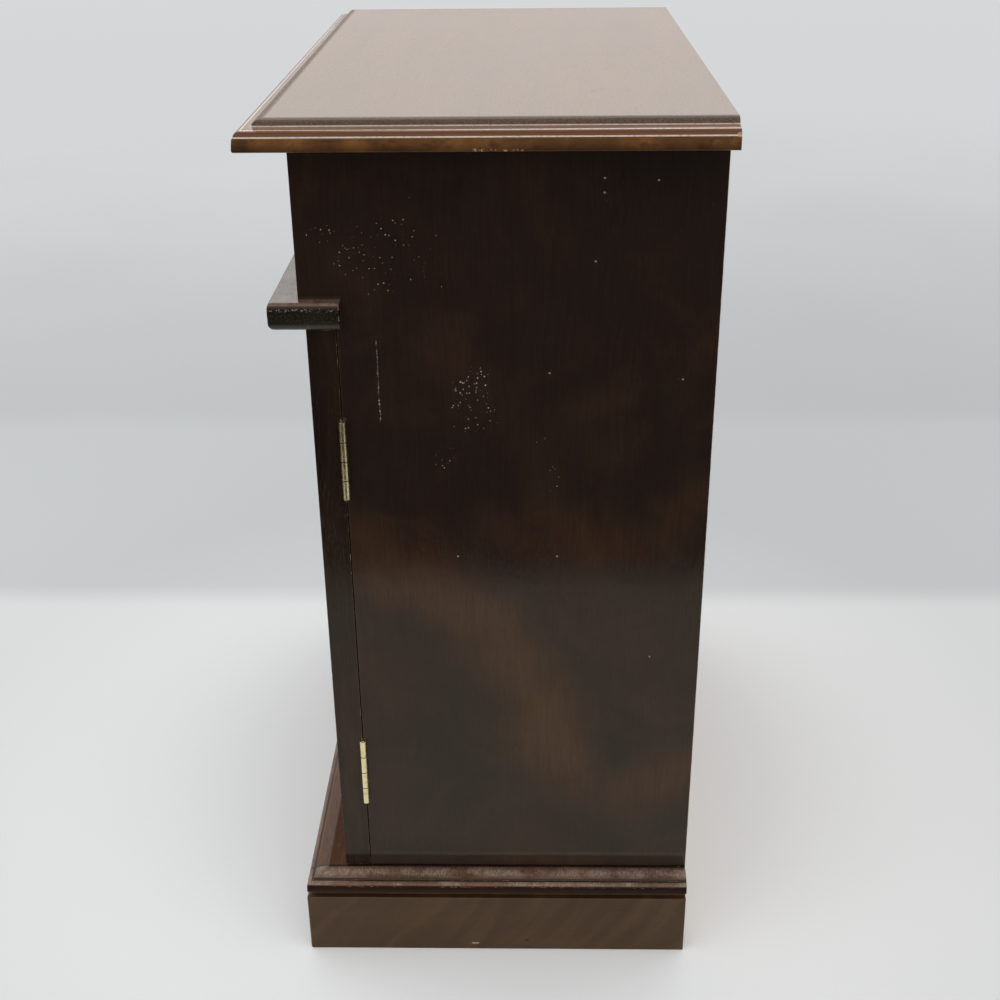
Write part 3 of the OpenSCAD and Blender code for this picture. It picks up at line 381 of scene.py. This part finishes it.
def top_marks(t):
    """The top board: rubbed arrises with painted highlights on a dark moulding, a pale fillet that is a
    painted reflection, a bitten lower edge, faint rings.
    """
    s, x, y, z = t["s"], t["x"], t["y"], t["z"]
    setback = s.math("MINIMUM", s.math("SUBTRACT", SLAB_X, s.math("ABSOLUTE", x)),
                     s.math("SUBTRACT", y, SLAB_Y))
    face = s.times(s.over(setback, SLAB_FLAT, SLAB_FLAT + 1.4), s.over(z, Z_END - 0.6, Z_END - 0.2))
    # The rise behind the fillet was never rubbed down: open pores and dull polish
    rise = s.times(s.within(setback, 7.5, 12.0, 0.5), s.over(z, Z_TOP + 8.9, Z_TOP + 9.3))
    grit = s.noise(s.scaled(t["place"], (0.6, 1, 0.8)), 3.2, 2, 0.7)
    t["colour"] = s.mix(s.times(rise, 0.9), t["colour"],
                        s.mix(s.over(grit, 0.40, 0.66), (0.036, 0.021, 0.015), (0.18, 0.125, 0.098)))
    t["rough"] = s.blend(rise, t["rough"], 0.45)
    t["height"] = s.add(s.times(t["height"], s.over(face, 0, 1, 1, 0.3)), s.times(rise, grit, 3.0))
    # Milky polish and faint marks on the flat top
    ring = s.math("ABSOLUTE", s.math("SUBTRACT", s.math("SQRT", s.add(
        s.math("POWER", s.add(x, -112.0), 2.0), s.math("POWER", s.add(y, -51.0), 2.0))), 7.5))
    ring = s.times(s.over(ring, 0.3, 1.3, 1, 0), s.over(s.noise(t["place"], 0.16), 0.45, 0.6), face)
    haze = s.over(s.noise(t["place"], 0.011, 3, 0.5), 0.3, 0.7, 0, 1)
    t["rough"] = s.blend(face, t["rough"], s.add(s.over(haze, 0, 1, 0.225, 0.25), s.times(ring, 0.08)))
    streaks = s.times(s.over(t["fibre"], 0.25, 0.75, 0.93, 1.07, smooth=False),
                      s.over(t["broad"], 0.3, 0.7, 0.92, 1.07, smooth=False))
    flat = s.mix(1.0, s.mix(haze, (0.163, 0.092, 0.045), (0.181, 0.105, 0.054)),
                 s.vector(streaks, streaks, streaks), "MULTIPLY")
    t["colour"] = s.mix(s.times(face, 0.96), t["colour"], flat)
    t["colour"] = s.mix(s.times(ring, 0.35), t["colour"], (0.11, 0.062, 0.04))
    dots = s.specks(t["place"], 5.0, 0.08, 0.10)
    t["colour"] = s.mix(s.times(dots, face, 0.35), t["colour"], (0.05, 0.03, 0.02))
    # Mouldings: brown face darkening to its foot, dark ovolo, and a fillet painted pale as a painted
    # reflection
    below = s.over(z, Z_TOP + 5.9, Z_TOP + 5.2)
    foot = s.over(z, Z_TOP + 0.3, Z_TOP + 4.2, 0.42, 1.0)
    brown = s.mix(s.over(t["broad"], 0.4, 0.65), (0.104, 0.040, 0.011), (0.205, 0.085, 0.022))
    soiled = s.over(s.noise(s.scaled(t["place"], (0.5, 0.5, 1)), 0.22, 4, 0.7), 0.50, 0.68, 0, 0.6)
    brown = s.mix(soiled, brown, (0.030, 0.013, 0.006))
    brown = s.mix(1.0, brown, s.vector(foot, foot, foot), "MULTIPLY")
    t["colour"] = s.mix(s.times(below, s.over(setback, 6.0, 3.0), 0.8), t["colour"], brown)
    ovolo = s.times(s.within(setback, 1.1, 3.2, 0.3), s.over(z, Z_TOP + 5.6, Z_TOP + 6.0))
    t["colour"] = s.mix(s.times(ovolo, 0.85), t["colour"], (0.130, 0.050, 0.020))
    # The fillet's pale colour is a painted reflection of the bright surroundings above
    fillet = s.times(s.within(setback, 3.6, 7.2, 0.3), s.over(z, Z_TOP + 7.6, Z_TOP + 8.0))
    t["colour"] = s.mix(s.times(fillet, 0.75), t["colour"], (0.230, 0.138, 0.097))
    # Pale lines on the arrises, partly worn wood and partly a painted highlight, broken up by noise
    wear_and_highlight_breaks = s.over(s.noise(s.scaled(t["place"], (0.5, 0.5, 1)), 1.3, 4, 0.7), 0.3, 0.55, 0.5, 1.0)
    arris = 0.0
    for (back, height), inner, outer in SLAB_ARRISES:
        arris = s.math("MAXIMUM", arris, dot(s, setback, z, (back, Z_TOP + height), inner, outer))
    t["colour"] = s.mix(s.times(arris, wear_and_highlight_breaks, 0.9), t["colour"], (0.76, 0.63, 0.54))
    # Pale wood where the lower arris is bitten and the back corner knocked
    side = s.over(s.math("ABSOLUTE", x), SLAB_X - 3, SLAB_X - 1)
    bite = s.times(s.within(y, -7, 14, 6), side, s.over(z, Z_TOP + 3.2, Z_TOP + 1.0))
    ragged = s.noise(t["place"], 0.5, 4, 0.75)
    bite = s.over(s.add(s.times(bite, 0.46), ragged), 1.0, 1.08)
    corner = s.times(s.over(y, 95.5, 98.5), side, s.within(z, Z_TOP + 5.4, Z_TOP + 9.6, 0.6))
    corner = s.over(s.add(s.times(corner, 0.5), ragged), 0.92, 1.0)
    t["bare"] = s.math("MAXIMUM", t["bare"], s.math("MAXIMUM", bite, corner))
    t["tint"] = s.mix(face, (1.0, 0.84, 0.62), (1.0, 1.0, 1.0))
    t["specular"] = s.blend(s.math("MAXIMUM", face, arris), 0.24, 0.5)


def shelf_marks(t):
    """The waist shelf: pinkish on top, nearly black ends with a painted floor reflection low down, pale
    flecks along the upper arris.
    """
    s, x, z = t["s"], t["x"], t["z"]
    end = s.over(s.math("ABSOLUTE", x), HALF_W + 0.3, HALF_W + 1.0)
    t["colour"] = s.mix(s.times(end, 0.85), t["colour"], (0.0092, 0.0078, 0.0048))
    # Painted reflection of the floor: the lower part of each end is greyed and lightened
    low = s.times(end, s.over(z, Z_SHELF_UNDER + 6.5, Z_SHELF_UNDER + 2.0))
    t["colour"] = s.mix(s.times(low, 0.9), t["colour"], (0.0145, 0.0160, 0.0112))
    crown = s.over(z, Z_SHELF - 1.4, Z_SHELF - 0.9)
    t["colour"] = s.mix(s.times(crown, 0.9), t["colour"],
                        s.mix(s.over(s.noise(t["place"], 0.3, 4, 0.7), 0.35, 0.65),
                              (0.100, 0.054, 0.035), (0.172, 0.112, 0.079)))
    t["height"] = s.times(t["height"], s.over(crown, 0, 1, 1, 0.15))
    t["specular"] = s.blend(crown, 0.5, 0.34)
    line = s.times(end, s.within(z, Z_SHELF - 2.2, Z_SHELF - 1.6, 0.2))
    t["colour"] = s.mix(s.times(line, 0.9), t["colour"], (0.005, 0.003, 0.002))
    arris = s.times(s.within(z, Z_SHELF - 3.6, Z_SHELF - 2.5, 0.4), 0.75)
    flecks = s.specks(t["place"], 0.62, s.add(s.times(arris, s.over(end, 0, 1, 0.3, 1)), 0.0012), 0.26)
    t["bare"] = s.math("MAXIMUM", t["bare"], s.times(flecks, 0.95))


def base_marks(t):
    """The base board: lit bead and torus, painted shade in the quirk, a dark face, a painted shadow line
    at the panel's foot, short pores at its ends.
    """
    s, x, y, z = t["s"], t["x"], t["y"], t["z"]
    side = s.math("SUBTRACT", BASE_X, s.math("ABSOLUTE", x))
    setback = s.math("MINIMUM", side, s.math("SUBTRACT", y, BASE_Y))
    ends = s.over(side, 13.4, 12.4)
    above = s.over(z, Z_BASE + 4.0, Z_BASE + 4.5)
    streak = s.noise(s.scaled(t["place"], (0.22, 1, 0.3)), 2.9, 2, 0.65)
    blotch = s.over(s.noise(t["place"], 0.07, 4, 0.65), 0.38, 0.62, 0.30, 1)
    hatch = s.blend(ends, 0.6, s.over(streak, 0.34, 0.68, 0.22, 1))
    crest = s.over(s.math("ABSOLUTE", s.math("SUBTRACT", setback, 7.2)), 0.8, 3.6, 1.0, 0.35)
    lit = s.math("MAXIMUM", s.times(s.within(setback, 4.0, 11.0, 0.6), crest, s.over(ends, 0, 1, 0.07, 1)),
                 s.times(s.within(setback, 0.6, 2.0, 0.35), s.over(ends, 0, 1, 0.5, 0.8)))
    t["colour"] = s.mix(s.times(lit, above, hatch, blotch, 0.92), t["colour"], (0.40, 0.31, 0.25))
    # Painted shade in the quirk, the groove between bead and torus
    quirk = s.times(s.within(setback, 2.5, 3.4, 0.35), above)
    t["colour"] = s.mix(s.times(quirk, 0.92), t["colour"], (0.008, 0.005, 0.003))
    face = s.times(s.over(setback, 0.7, 0.4), s.over(z, Z_BASE + 4.4, Z_BASE + 4.0))
    t["colour"] = s.mix(s.times(face, 0.9), t["colour"],
                        s.mix(s.over(z, Z_BASE + 2.6, Z_BASE + 0.4), (0.012, 0.006, 0.004),
                              (0.028, 0.016, 0.011)))
    # Painted shadow line on the board's ends, where the side panel stands on it
    foot = s.times(s.over(side, 11.3, 11.7), ends, above)
    t["colour"] = s.mix(s.times(foot, 0.85), t["colour"], (0.010, 0.006, 0.004))
    scuff = s.noise(s.scaled(t["place"], (0.3, 1, 1)), 0.35, 4, 0.7)
    t["colour"] = s.mix(s.times(s.math("SUBTRACT", 1.0, ends), s.over(scuff, 0.56, 0.70), 0.2),
                        t["colour"], (0.26, 0.165, 0.11))
    t["specular"] = s.blend(s.math("MAXIMUM", s.over(setback, 9.6, 10.8), face), 0.5, 0.08)
    t["height"] = s.add(t["height"], s.times(ends, streak, 1.4))
    t["rough"] = s.add(t["rough"], s.times(ends, s.over(streak, 0.45, 0.7), 0.12))


def plinth_marks(t):
    """The plinth: slanting figure in a dull finish."""
    s, y, z = t["s"], t["y"], t["z"]
    slanted = s.add(y, s.times(z, -0.75), s.times(s.noise(t["place"], 0.03), 26.0))
    stripes = s.noise(s.vector(0.0, slanted, s.times(z, 0.12)), 0.075, 3, 0.55)
    t["colour"] = s.mix(0.6, t["colour"], (0.042, 0.0195, 0.0075))
    t["tint"] = (1.0, 0.86, 0.58, 1.0)
    t["colour"] = s.mix(s.over(stripes, 0.40, 0.70, 0, 0.5), t["colour"], (0.078, 0.040, 0.019))
    dark = s.over(stripes, 0.3, 0.45, 0.35, 0)
    t["colour"] = s.mix(dark, t["colour"], (0.030, 0.017, 0.011))
    spot = s.times(near(s, y, z, (16, 6.5), (1.4, 1.4)), 0.85)
    t["colour"] = s.mix(spot, t["colour"], (0.008, 0.006, 0.005))
    nick = s.times(near(s, y, z, (-12, 4.2), (3.4, 0.9)), s.over(s.noise(t["place"], 0.5), 0.4, 0.55))
    t["bare"] = s.math("MAXIMUM", t["bare"], nick)


MAHOGANY = dict(base=(0.058, 0.024, 0.0125), dark=(0.028, 0.013, 0.0085), light=(0.105, 0.046, 0.022))
DEEP = dict(base=(0.030, 0.0165, 0.0115), dark=(0.017, 0.010, 0.0078), light=(0.058, 0.028, 0.0165))
DARK = dict(base=(0.020, 0.0112, 0.0078), dark=(0.012, 0.0072, 0.0055), light=(0.040, 0.0195, 0.0115))
INSIDE = dict(base=(0.19, 0.100, 0.052), dark=(0.13, 0.066, 0.034), light=(0.27, 0.155, 0.085))
PINE = dict(base=(0.46, 0.31, 0.175), dark=(0.36, 0.225, 0.115), light=(0.56, 0.41, 0.25))

materials = {
    "side_right": side_veneer("side_veneer_right", 1),
    "side_left": side_veneer("side_veneer_left", -1),
    "top": board("polished_top", 0, **MAHOGANY, gloss=(0.10, 0.2), ior=1.5,
                 worn=0.115, rub=0.75, rub_colour=(0.24, 0.115, 0.055), seed=11, extra=top_marks,
                 sheen=(0.16, 0.35, (1.0, 0.62, 0.38))),
    "shelf": board("waist_shelf_wood", 0, **DEEP, gloss=(0.14, 0.26), seed=37, worn=0.10,
                   worn_colour=(0.60, 0.50, 0.40), extra=shelf_marks),
    "base": board("base_moulding", 0, base=(0.100, 0.036, 0.016), dark=(0.062, 0.023, 0.012),
                  light=(0.145, 0.056, 0.028), gloss=(0.28, 0.42), seed=71, worn=0.09, rub=0.5,
                  rub_colour=(0.22, 0.12, 0.075), extra=base_marks, ior=1.38),
    "plinth_x": board("plinth_front_wood", 0, **MAHOGANY, gloss=(0.30, 0.44), seed=5, worn=0.10,
                      depth=0.03),
    "plinth_y": board("plinth_side_wood", 1, **MAHOGANY, gloss=(0.30, 0.44), seed=9, worn=0.10,
                      depth=0.03, extra=plinth_marks),
    "stile": board("door_stile_wood", 2, **DARK, gloss=(0.10, 0.2), seed=23, worn=0.05, ior=1.40),
    "rail": board("door_rail_wood", 0, **DARK, gloss=(0.10, 0.2), seed=31, worn=0.05, ior=1.40),
    "panel": board("door_panel_veneer", 2, base=(0.046, 0.022, 0.012), dark=(0.022, 0.012, 0.008),
                   light=(0.09, 0.041, 0.018), gloss=(0.10, 0.22), seed=53, worn=0.07, fine=0.8,
                   strength=1.1),
    "drawer_front": board("drawer_front_wood", 0, base=(0.042, 0.021, 0.012),
                          dark=(0.021, 0.012, 0.008), light=(0.085, 0.039, 0.018),
                          gloss=(0.10, 0.22), seed=61, worn=0.085),
    "inside": board("inside_wood", 0, **INSIDE, pore=(0.06, 0.03, 0.016), gloss=(0.45, 0.6), seed=83,
                    worn=0.03, rub=0.2, depth=0.05),
    "plain_x": board("plain_wood_x", 0, **PINE, pore=(0.26, 0.15, 0.075), gloss=(0.55, 0.7), seed=97,
                     worn=0.02, rub=0.1, rub_colour=(0.6, 0.45, 0.28)),
    "plain_y": board("plain_wood_y", 1, **PINE, pore=(0.26, 0.15, 0.075), gloss=(0.55, 0.7), seed=19,
                     worn=0.02, rub=0.1, rub_colour=(0.6, 0.45, 0.28)),
    "plain_z": board("plain_wood_z", 2, **PINE, pore=(0.26, 0.15, 0.075), gloss=(0.55, 0.7), seed=29,
                     worn=0.02, rub=0.1, rub_colour=(0.6, 0.45, 0.28)),
    "plywood": board("stained_plywood", 2, base=(0.135, 0.075, 0.042), dark=(0.09, 0.048, 0.027),
                     light=(0.19, 0.115, 0.066), pore=(0.05, 0.027, 0.016), gloss=(0.5, 0.65),
                     seed=43, worn=0.04, rub=0.2, rub_colour=(0.3, 0.2, 0.12)),
    "ply_bottom": board("drawer_plywood", 0, base=(0.50, 0.36, 0.22), dark=(0.42, 0.28, 0.16),
                        light=(0.58, 0.45, 0.29), pore=(0.32, 0.2, 0.11), gloss=(0.5, 0.65), seed=47,
                        worn=0.02, rub=0.1, rub_colour=(0.6, 0.48, 0.32)),
}


def brass():
    """Old polished brass: bright where it is handled, brown in the crevices and knuckle joints."""
    s = Shader("brass")
    place, x, y, z = s.place()
    cloud = s.noise(place, 0.35, 5, 0.65)
    fine = s.noise(s.scaled(place, (1, 1, 0.25)), 3.2, 2, 0.6)
    tarnish = s.over(s.add(cloud, s.times(fine, 0.25)), 0.60, 0.92, 0, 0.6)
    colour = s.mix(tarnish, (0.86, 0.76, 0.44), (0.40, 0.30, 0.13))
    edge = s.worn_edge(0.25)
    colour = s.mix(s.times(edge, 0.6), colour, (0.95, 0.88, 0.62))
    wide = s.math("ABSOLUTE", x)
    joint = 0.0
    for middle in HINGE_Z:
        for step in (-1, 0, 1):
            seam = middle + step * KNUCKLE_STEP
            joint = s.math("MAXIMUM", joint, s.within(z, seam - 0.14, seam + 0.14, 0.16))
    joint = s.times(joint, s.over(wide, HALF_W - 0.2, HALF_W + 0.1))
    pin = dot(s, wide, y, (HINGE_X, HINGE_Y), 0.78, 0.82)
    hollow = s.math("SUBTRACT", dot(s, wide, y, (HINGE_X, HINGE_Y), 1.0, 1.1), pin)
    hollow = s.times(hollow, 0.9)
    colour = s.mix(s.math("MAXIMUM", s.times(joint, 0.9), hollow), colour, (0.035, 0.024, 0.011))
    rough = s.add(s.over(cloud, 0.3, 0.8, 0.16, 0.32), s.times(fine, 0.06))
    height = s.add(s.times(fine, 0.4), s.times(cloud, 0.3))
    return s.finish(colour, rough, height, 0.02, Metallic=1.0)


def steel():
    """Zinc-plated steel of screws and pins, faintly mottled."""
    s = Shader("steel")
    place = s.place()[0]
    cloud = s.noise(place, 0.8, 4, 0.6)
    colour = s.mix(s.over(cloud, 0.35, 0.7), (0.42, 0.42, 0.41), (0.60, 0.60, 0.585))
    return s.finish(colour, s.over(cloud, 0.3, 0.7, 0.28, 0.45), s.noise(place, 3.0, 2), 0.02,
                    Metallic=1.0)


def plastic():
    """Brown moulded plastic of the catch, with a fine spark-eroded grain."""
    s = Shader("catch_plastic")
    place = s.place()[0]
    fine = s.noise(place, 4.0, 2, 0.5)
    cloud = s.noise(place, 0.12, 3, 0.5)
    colour = s.mix(cloud, (0.045, 0.025, 0.016), (0.068, 0.038, 0.024))
    colour = s.mix(s.times(s.worn_edge(0.4), 0.4), colour, (0.12, 0.075, 0.05))
    return s.finish(colour, s.over(fine, 0.3, 0.7, 0.38, 0.52), fine, 0.03, IOR=1.5)


materials.update(brass=brass(), steel=steel(), plastic=plastic())


# Nodes and their materials

FINISH = {
    "top_board": "top", "side_panel_right": "side_right", "side_panel_left": "side_left",
    "back_panel": "plywood", "waist_shelf": "shelf", "inner_shelf": "inside", "base_board": "base",
    "top_rail_front": "inside", "top_rail_back": "inside", "plinth_front": "plinth_x",
    "plinth_right": "plinth_y", "plinth_left": "plinth_y", "plinth_back": "plain_x",
    "plinth_corner_blocks": "plain_z", "drawer_stops": "plain_y", "catch_housing": "plastic",
    "hinge_pins": "brass", "frame_leaf_screws": "brass", "drawer_front": "drawer_front",
    "drawer_side_right": "plain_y", "drawer_side_left": "plain_y", "drawer_back": "plain_x",
    "drawer_bottom": "ply_bottom", "drawer_knob": "brass",
}
ENDINGS = {
    "_stile": "stile", "door_top_rail": "rail", "door_bottom_rail": "rail", "door_panel": "panel",
    "_leaf": "brass", "_knob": "brass", "door_screws": "brass",
}


def soften(obj, width):
    """Eases the arrises of a CAD piece by a fraction of a millimetre, inside its own size."""
    weld = obj.modifiers.new("weld", "WELD")
    weld.merge_threshold = 0.000002
    flat = obj.modifiers.new("flat", "DECIMATE")
    flat.decimate_type = "DISSOLVE"
    flat.angle_limit = math.radians(0.3)
    bevel = obj.modifiers.new("bevel", "BEVEL")
    bevel.limit_method = "ANGLE"
    bevel.angle_limit = math.radians(32)
    bevel.width = width / 1000
    bevel.segments = 2
    bevel.use_clamp_overlap = True
    normals = obj.modifiers.new("normals", "WEIGHTED_NORMAL")
    normals.weight = 60
    normals.keep_sharp = False


for name, obj in nodes.items():
    ending = next((v for k, v in ENDINGS.items() if name.endswith(k)), "steel")
    material = materials[FINISH.get(name, ending)]
    for slot in obj.material_slots:
        slot.material = material
    if material.name not in ("brass", "steel"):
        soften(obj, 0.35)


# Floor, world, lamps

def disc(name, radius, rings, around, z):
    """A flat disc of rings, so that its edge can fade."""
    verts = [(0.0, 0.0, z)]
    faces = []
    for i in range(1, rings + 1):
        for k in range(around):
            angle = 2 * math.pi * k / around
            verts.append((radius * i / rings * math.cos(angle), radius * i / rings * math.sin(angle), z))
    for k in range(around):
        faces.append((0, 1 + k, 1 + (k + 1) % around))
    for i in range(1, rings):
        for k in range(around):
            a, b = 1 + (i - 1) * around + k, 1 + (i - 1) * around + (k + 1) % around
            faces.append((a, a + around, b + around, b))
    mesh = bpy.data.meshes.new(name)
    mesh.from_pydata(verts, [], faces)
    obj = bpy.data.objects.new(name, mesh)
    scene.collection.objects.link(obj)
    return obj


# Floor and wall: the wall's foot and the fades in millimetres
FLOOR_RADIUS = 2.4
WALL_FOOT = (-225, -185)
FLOOR_FADE = (1200, 2350)
DARK_REFLECTION_FADE = (515, 575)
FLOOR_TONE = (0.742, 0.748, 0.752)
# The wall tones are painted shade: the floor behind the wall's foot takes the darker tones of an upright
# wall
WALL_TONE = (0.590, 0.607, 0.615)
MIDDLE_TONE = (0.545, 0.562, 0.57)
FAR_TONE = (0.665, 0.68, 0.69)


def floor_material():
    s = Shader("floor_paper")
    place, x, y, _ = s.place()
    radius = s.math("SQRT", s.add(s.times(x, x), s.times(y, y)))
    behind = s.over(x, *WALL_FOOT, 1, 0)
    cloud = s.noise(place, 0.0030, 2, 0.5)
    # Painted shade: behind the wall's foot the floor is painted in a wall's darker tones, darkest part-way
    # back
    wall = s.mix(s.over(x, -700, -200), MIDDLE_TONE, WALL_TONE)
    wall = s.mix(s.over(x, -1700, -400), FAR_TONE, wall)
    colour = s.mix(behind, FLOOR_TONE, wall)
    shade = s.over(cloud, 0.3, 0.7, 0.992, 1.008, smooth=False)
    # Painted light and shade: the floor is lightened round the object against its contact shadow, and
    # darkened towards +Y
    shade = s.times(shade, s.over(y, -450, 500, 1.02, 0.955), s.over(radius, 190, 420, 1.215, 1.0))
    colour = s.mix(1.0, colour, s.vector(shade, shade, shade), "MULTIPLY")
    s.finish(colour, s.over(cloud, 0.2, 0.8, 0.6, 0.7), s.noise(place, 0.6, 3), 0.02,
             Specular_IOR_Level=0.12)
    clear = s.put("BsdfTransparent")
    joined = s.put("MixShader")
    s.feed(joined.inputs[0], s.over(radius, *FLOOR_FADE))
    s.feed(joined.inputs[1], s.bsdf.outputs[0])
    s.feed(joined.inputs[2], clear.outputs[0])
    s.feed(s.tree.nodes["Material Output"].inputs[0], joined.outputs[0])
    return s.material


floor = disc("floor", FLOOR_RADIUS, 12, 96, 0.0)
floor.data.materials.append(floor_material())

# A dark sheet that only reflections show: a painted reflection of a dark room beyond the edge of the paper
dark_reflection_sheet = bpy.data.objects.new("dark_reflection_sheet", bpy.data.meshes.new("dark_reflection_sheet"))
INNER, OUTER = 0.52, 6.0
corners = [(INNER, INNER), (-INNER, INNER), (-INNER, -INNER), (INNER, -INNER)]
verts = [(x, y, 0.0004) for x, y in corners] + [(x * OUTER / INNER, y * OUTER / INNER, 0.0004)
                                               for x, y in corners]
dark_reflection_sheet.data.from_pydata(verts, [], [(i, (i + 1) % 4, 4 + (i + 1) % 4, 4 + i) for i in range(4)])
dark_reflection_sheet.data.transform(Matrix.Rotation(math.radians(3), 4, "Z"))
scene.collection.objects.link(dark_reflection_sheet)


def dark_reflection_material():
    s = Shader("dark_reflection_emission")
    _, x, y, _ = s.place()
    reach = s.math("MAXIMUM", s.math("ABSOLUTE", x), s.math("ABSOLUTE", y))
    dark = s.put("Emission", (0.03, 0.026, 0.024, 1), 1.0)
    clear = s.put("BsdfTransparent")
    joined = s.put("MixShader")
    s.feed(joined.inputs[0], s.over(reach, *DARK_REFLECTION_FADE))
    s.feed(joined.inputs[1], clear.outputs[0])
    s.feed(joined.inputs[2], dark.outputs[0])
    s.feed(s.tree.nodes["Material Output"].inputs[0], joined.outputs[0])
    return s.material


dark_reflection_sheet.data.materials.append(dark_reflection_material())
dark_reflection_sheet.visible_camera = False
dark_reflection_sheet.visible_diffuse = False
dark_reflection_sheet.visible_transmission = False
dark_reflection_sheet.visible_shadow = False


def build_world():
    """Pale studio: what the camera and reflections see, and a plainer light for the surfaces."""
    world = bpy.data.worlds.new("studio")
    scene.world = world
    world.use_nodes = True
    tree = world.node_tree
    tree.nodes.clear()

    def put(kind, **settings):
        node = tree.nodes.new("ShaderNode" + kind)
        for key, value in settings.items():
            setattr(node, key, value)
        return node

    coords = put("TexCoord")
    parts = put("SeparateXYZ")
    tree.links.new(coords.outputs["Generated"], parts.inputs[0])
    ramp = put("ValToRGB")
    stops = [(0.0, (0.62, 0.635, 0.65)), (0.30, (0.62, 0.635, 0.65)), (0.44, (0.665, 0.68, 0.69)),
             (0.50, (0.74, 0.75, 0.755)), (0.60, (0.92, 0.92, 0.92)), (1.0, (1.0, 1.0, 1.0))]
    ramp.color_ramp.elements[0].position = 0.0
    while len(ramp.color_ramp.elements) < len(stops):
        ramp.color_ramp.elements.new(0.5)
    for element, (position, colour) in zip(ramp.color_ramp.elements, stops):
        element.position = position
        element.color = (*colour, 1)
    up = put("MapRange")
    up.inputs["From Min"].default_value = -1.0
    tree.links.new(parts.outputs[2], up.inputs[0])
    tree.links.new(up.outputs[0], ramp.inputs[0])
    rays = put("LightPath")
    seen = put("Math", operation="MAXIMUM")
    tree.links.new(rays.outputs["Is Camera Ray"], seen.inputs[0])
    tree.links.new(rays.outputs["Is Transmission Ray"], seen.inputs[1])
    plain = put("Background")
    plain.inputs["Color"].default_value = (1.0, 1.0, 1.0, 1)
    plain.inputs["Strength"].default_value = 0.62
    shown = put("Background")
    tree.links.new(ramp.outputs[0], shown.inputs["Color"])
    # Reflections show a bright band of wall over a duller ceiling
    walls = put("ValToRGB")
    stops = [(0.0, 0.31), (0.30, 0.31), (0.44, 0.335), (0.50, 0.375), (0.58, 0.50), (0.66, 0.86),
             (0.80, 0.93), (0.86, 0.86), (0.93, 0.40), (1.0, 0.30)]
    while len(walls.color_ramp.elements) < len(stops):
        walls.color_ramp.elements.new(0.5)
    for element, (position, level) in zip(walls.color_ramp.elements, stops):
        element.position = position
        element.color = (level, level, level, 1)
    tree.links.new(up.outputs[0], walls.inputs[0])
    mirrored = put("Background")
    mirrored.inputs["Strength"].default_value = 2.0
    tree.links.new(walls.outputs[0], mirrored.inputs["Color"])
    first = put("MixShader")
    tree.links.new(seen.outputs[0], first.inputs[0])
    tree.links.new(plain.outputs[0], first.inputs[1])
    tree.links.new(shown.outputs[0], first.inputs[2])
    joined = put("MixShader")
    tree.links.new(rays.outputs["Is Glossy Ray"], joined.inputs[0])
    tree.links.new(first.outputs[0], joined.inputs[1])
    tree.links.new(mirrored.outputs[0], joined.inputs[2])
    out = put("OutputWorld")
    tree.links.new(joined.outputs[0], out.inputs[0])


build_world()


def sun(name, direction, strength, angle):
    """A soft far lamp; direction points from the object towards it."""
    lamp = bpy.data.lights.new(name, "SUN")
    lamp.energy = strength
    lamp.angle = math.radians(angle)
    obj = bpy.data.objects.new(name, lamp)
    obj.rotation_euler = Vector(direction).to_track_quat("Z", "Y").to_euler()
    scene.collection.objects.link(obj)
    obj.visible_glossy = False
    return obj


sun("key", (0.30, -0.12, 1.0), 0.85, 110)
sun("fill_front", (0.45, -0.75, 0.9), 0.30, 120)
sun("fill_back", (-0.5, 0.6, 0.9), 0.25, 120)


# Camera

# The photograph's camera: place in metres, yaw, pitch and roll in degrees, lens in millimetres
CAMERA_PLACE = (0.71797, 0.0170, 0.5434)
CAMERA_TURN = (-1.34, 26.53, -0.61)
CAMERA_LENS = 49.913


def add_camera():
    yaw, pitch, roll = (math.radians(v) for v in CAMERA_TURN)
    forward = Vector((-math.cos(pitch) * math.cos(yaw), math.cos(pitch) * math.sin(yaw),
                      -math.sin(pitch)))
    right = forward.cross(Vector((0, 0, 1))).normalized()
    up = right.cross(forward)
    level = right * math.cos(roll) + up * math.sin(roll)
    upright = up * math.cos(roll) - right * math.sin(roll)
    data = bpy.data.cameras.new("camera")
    data.lens = CAMERA_LENS
    data.sensor_width = 36.0
    data.clip_start = 0.05
    data.clip_end = 50.0
    camera = bpy.data.objects.new("camera", data)
    camera.matrix_world = Matrix.Translation(CAMERA_PLACE) @ Matrix(
        (level, upright, -forward)).transposed().to_4x4()
    scene.collection.objects.link(camera)
    scene.camera = camera


add_camera()
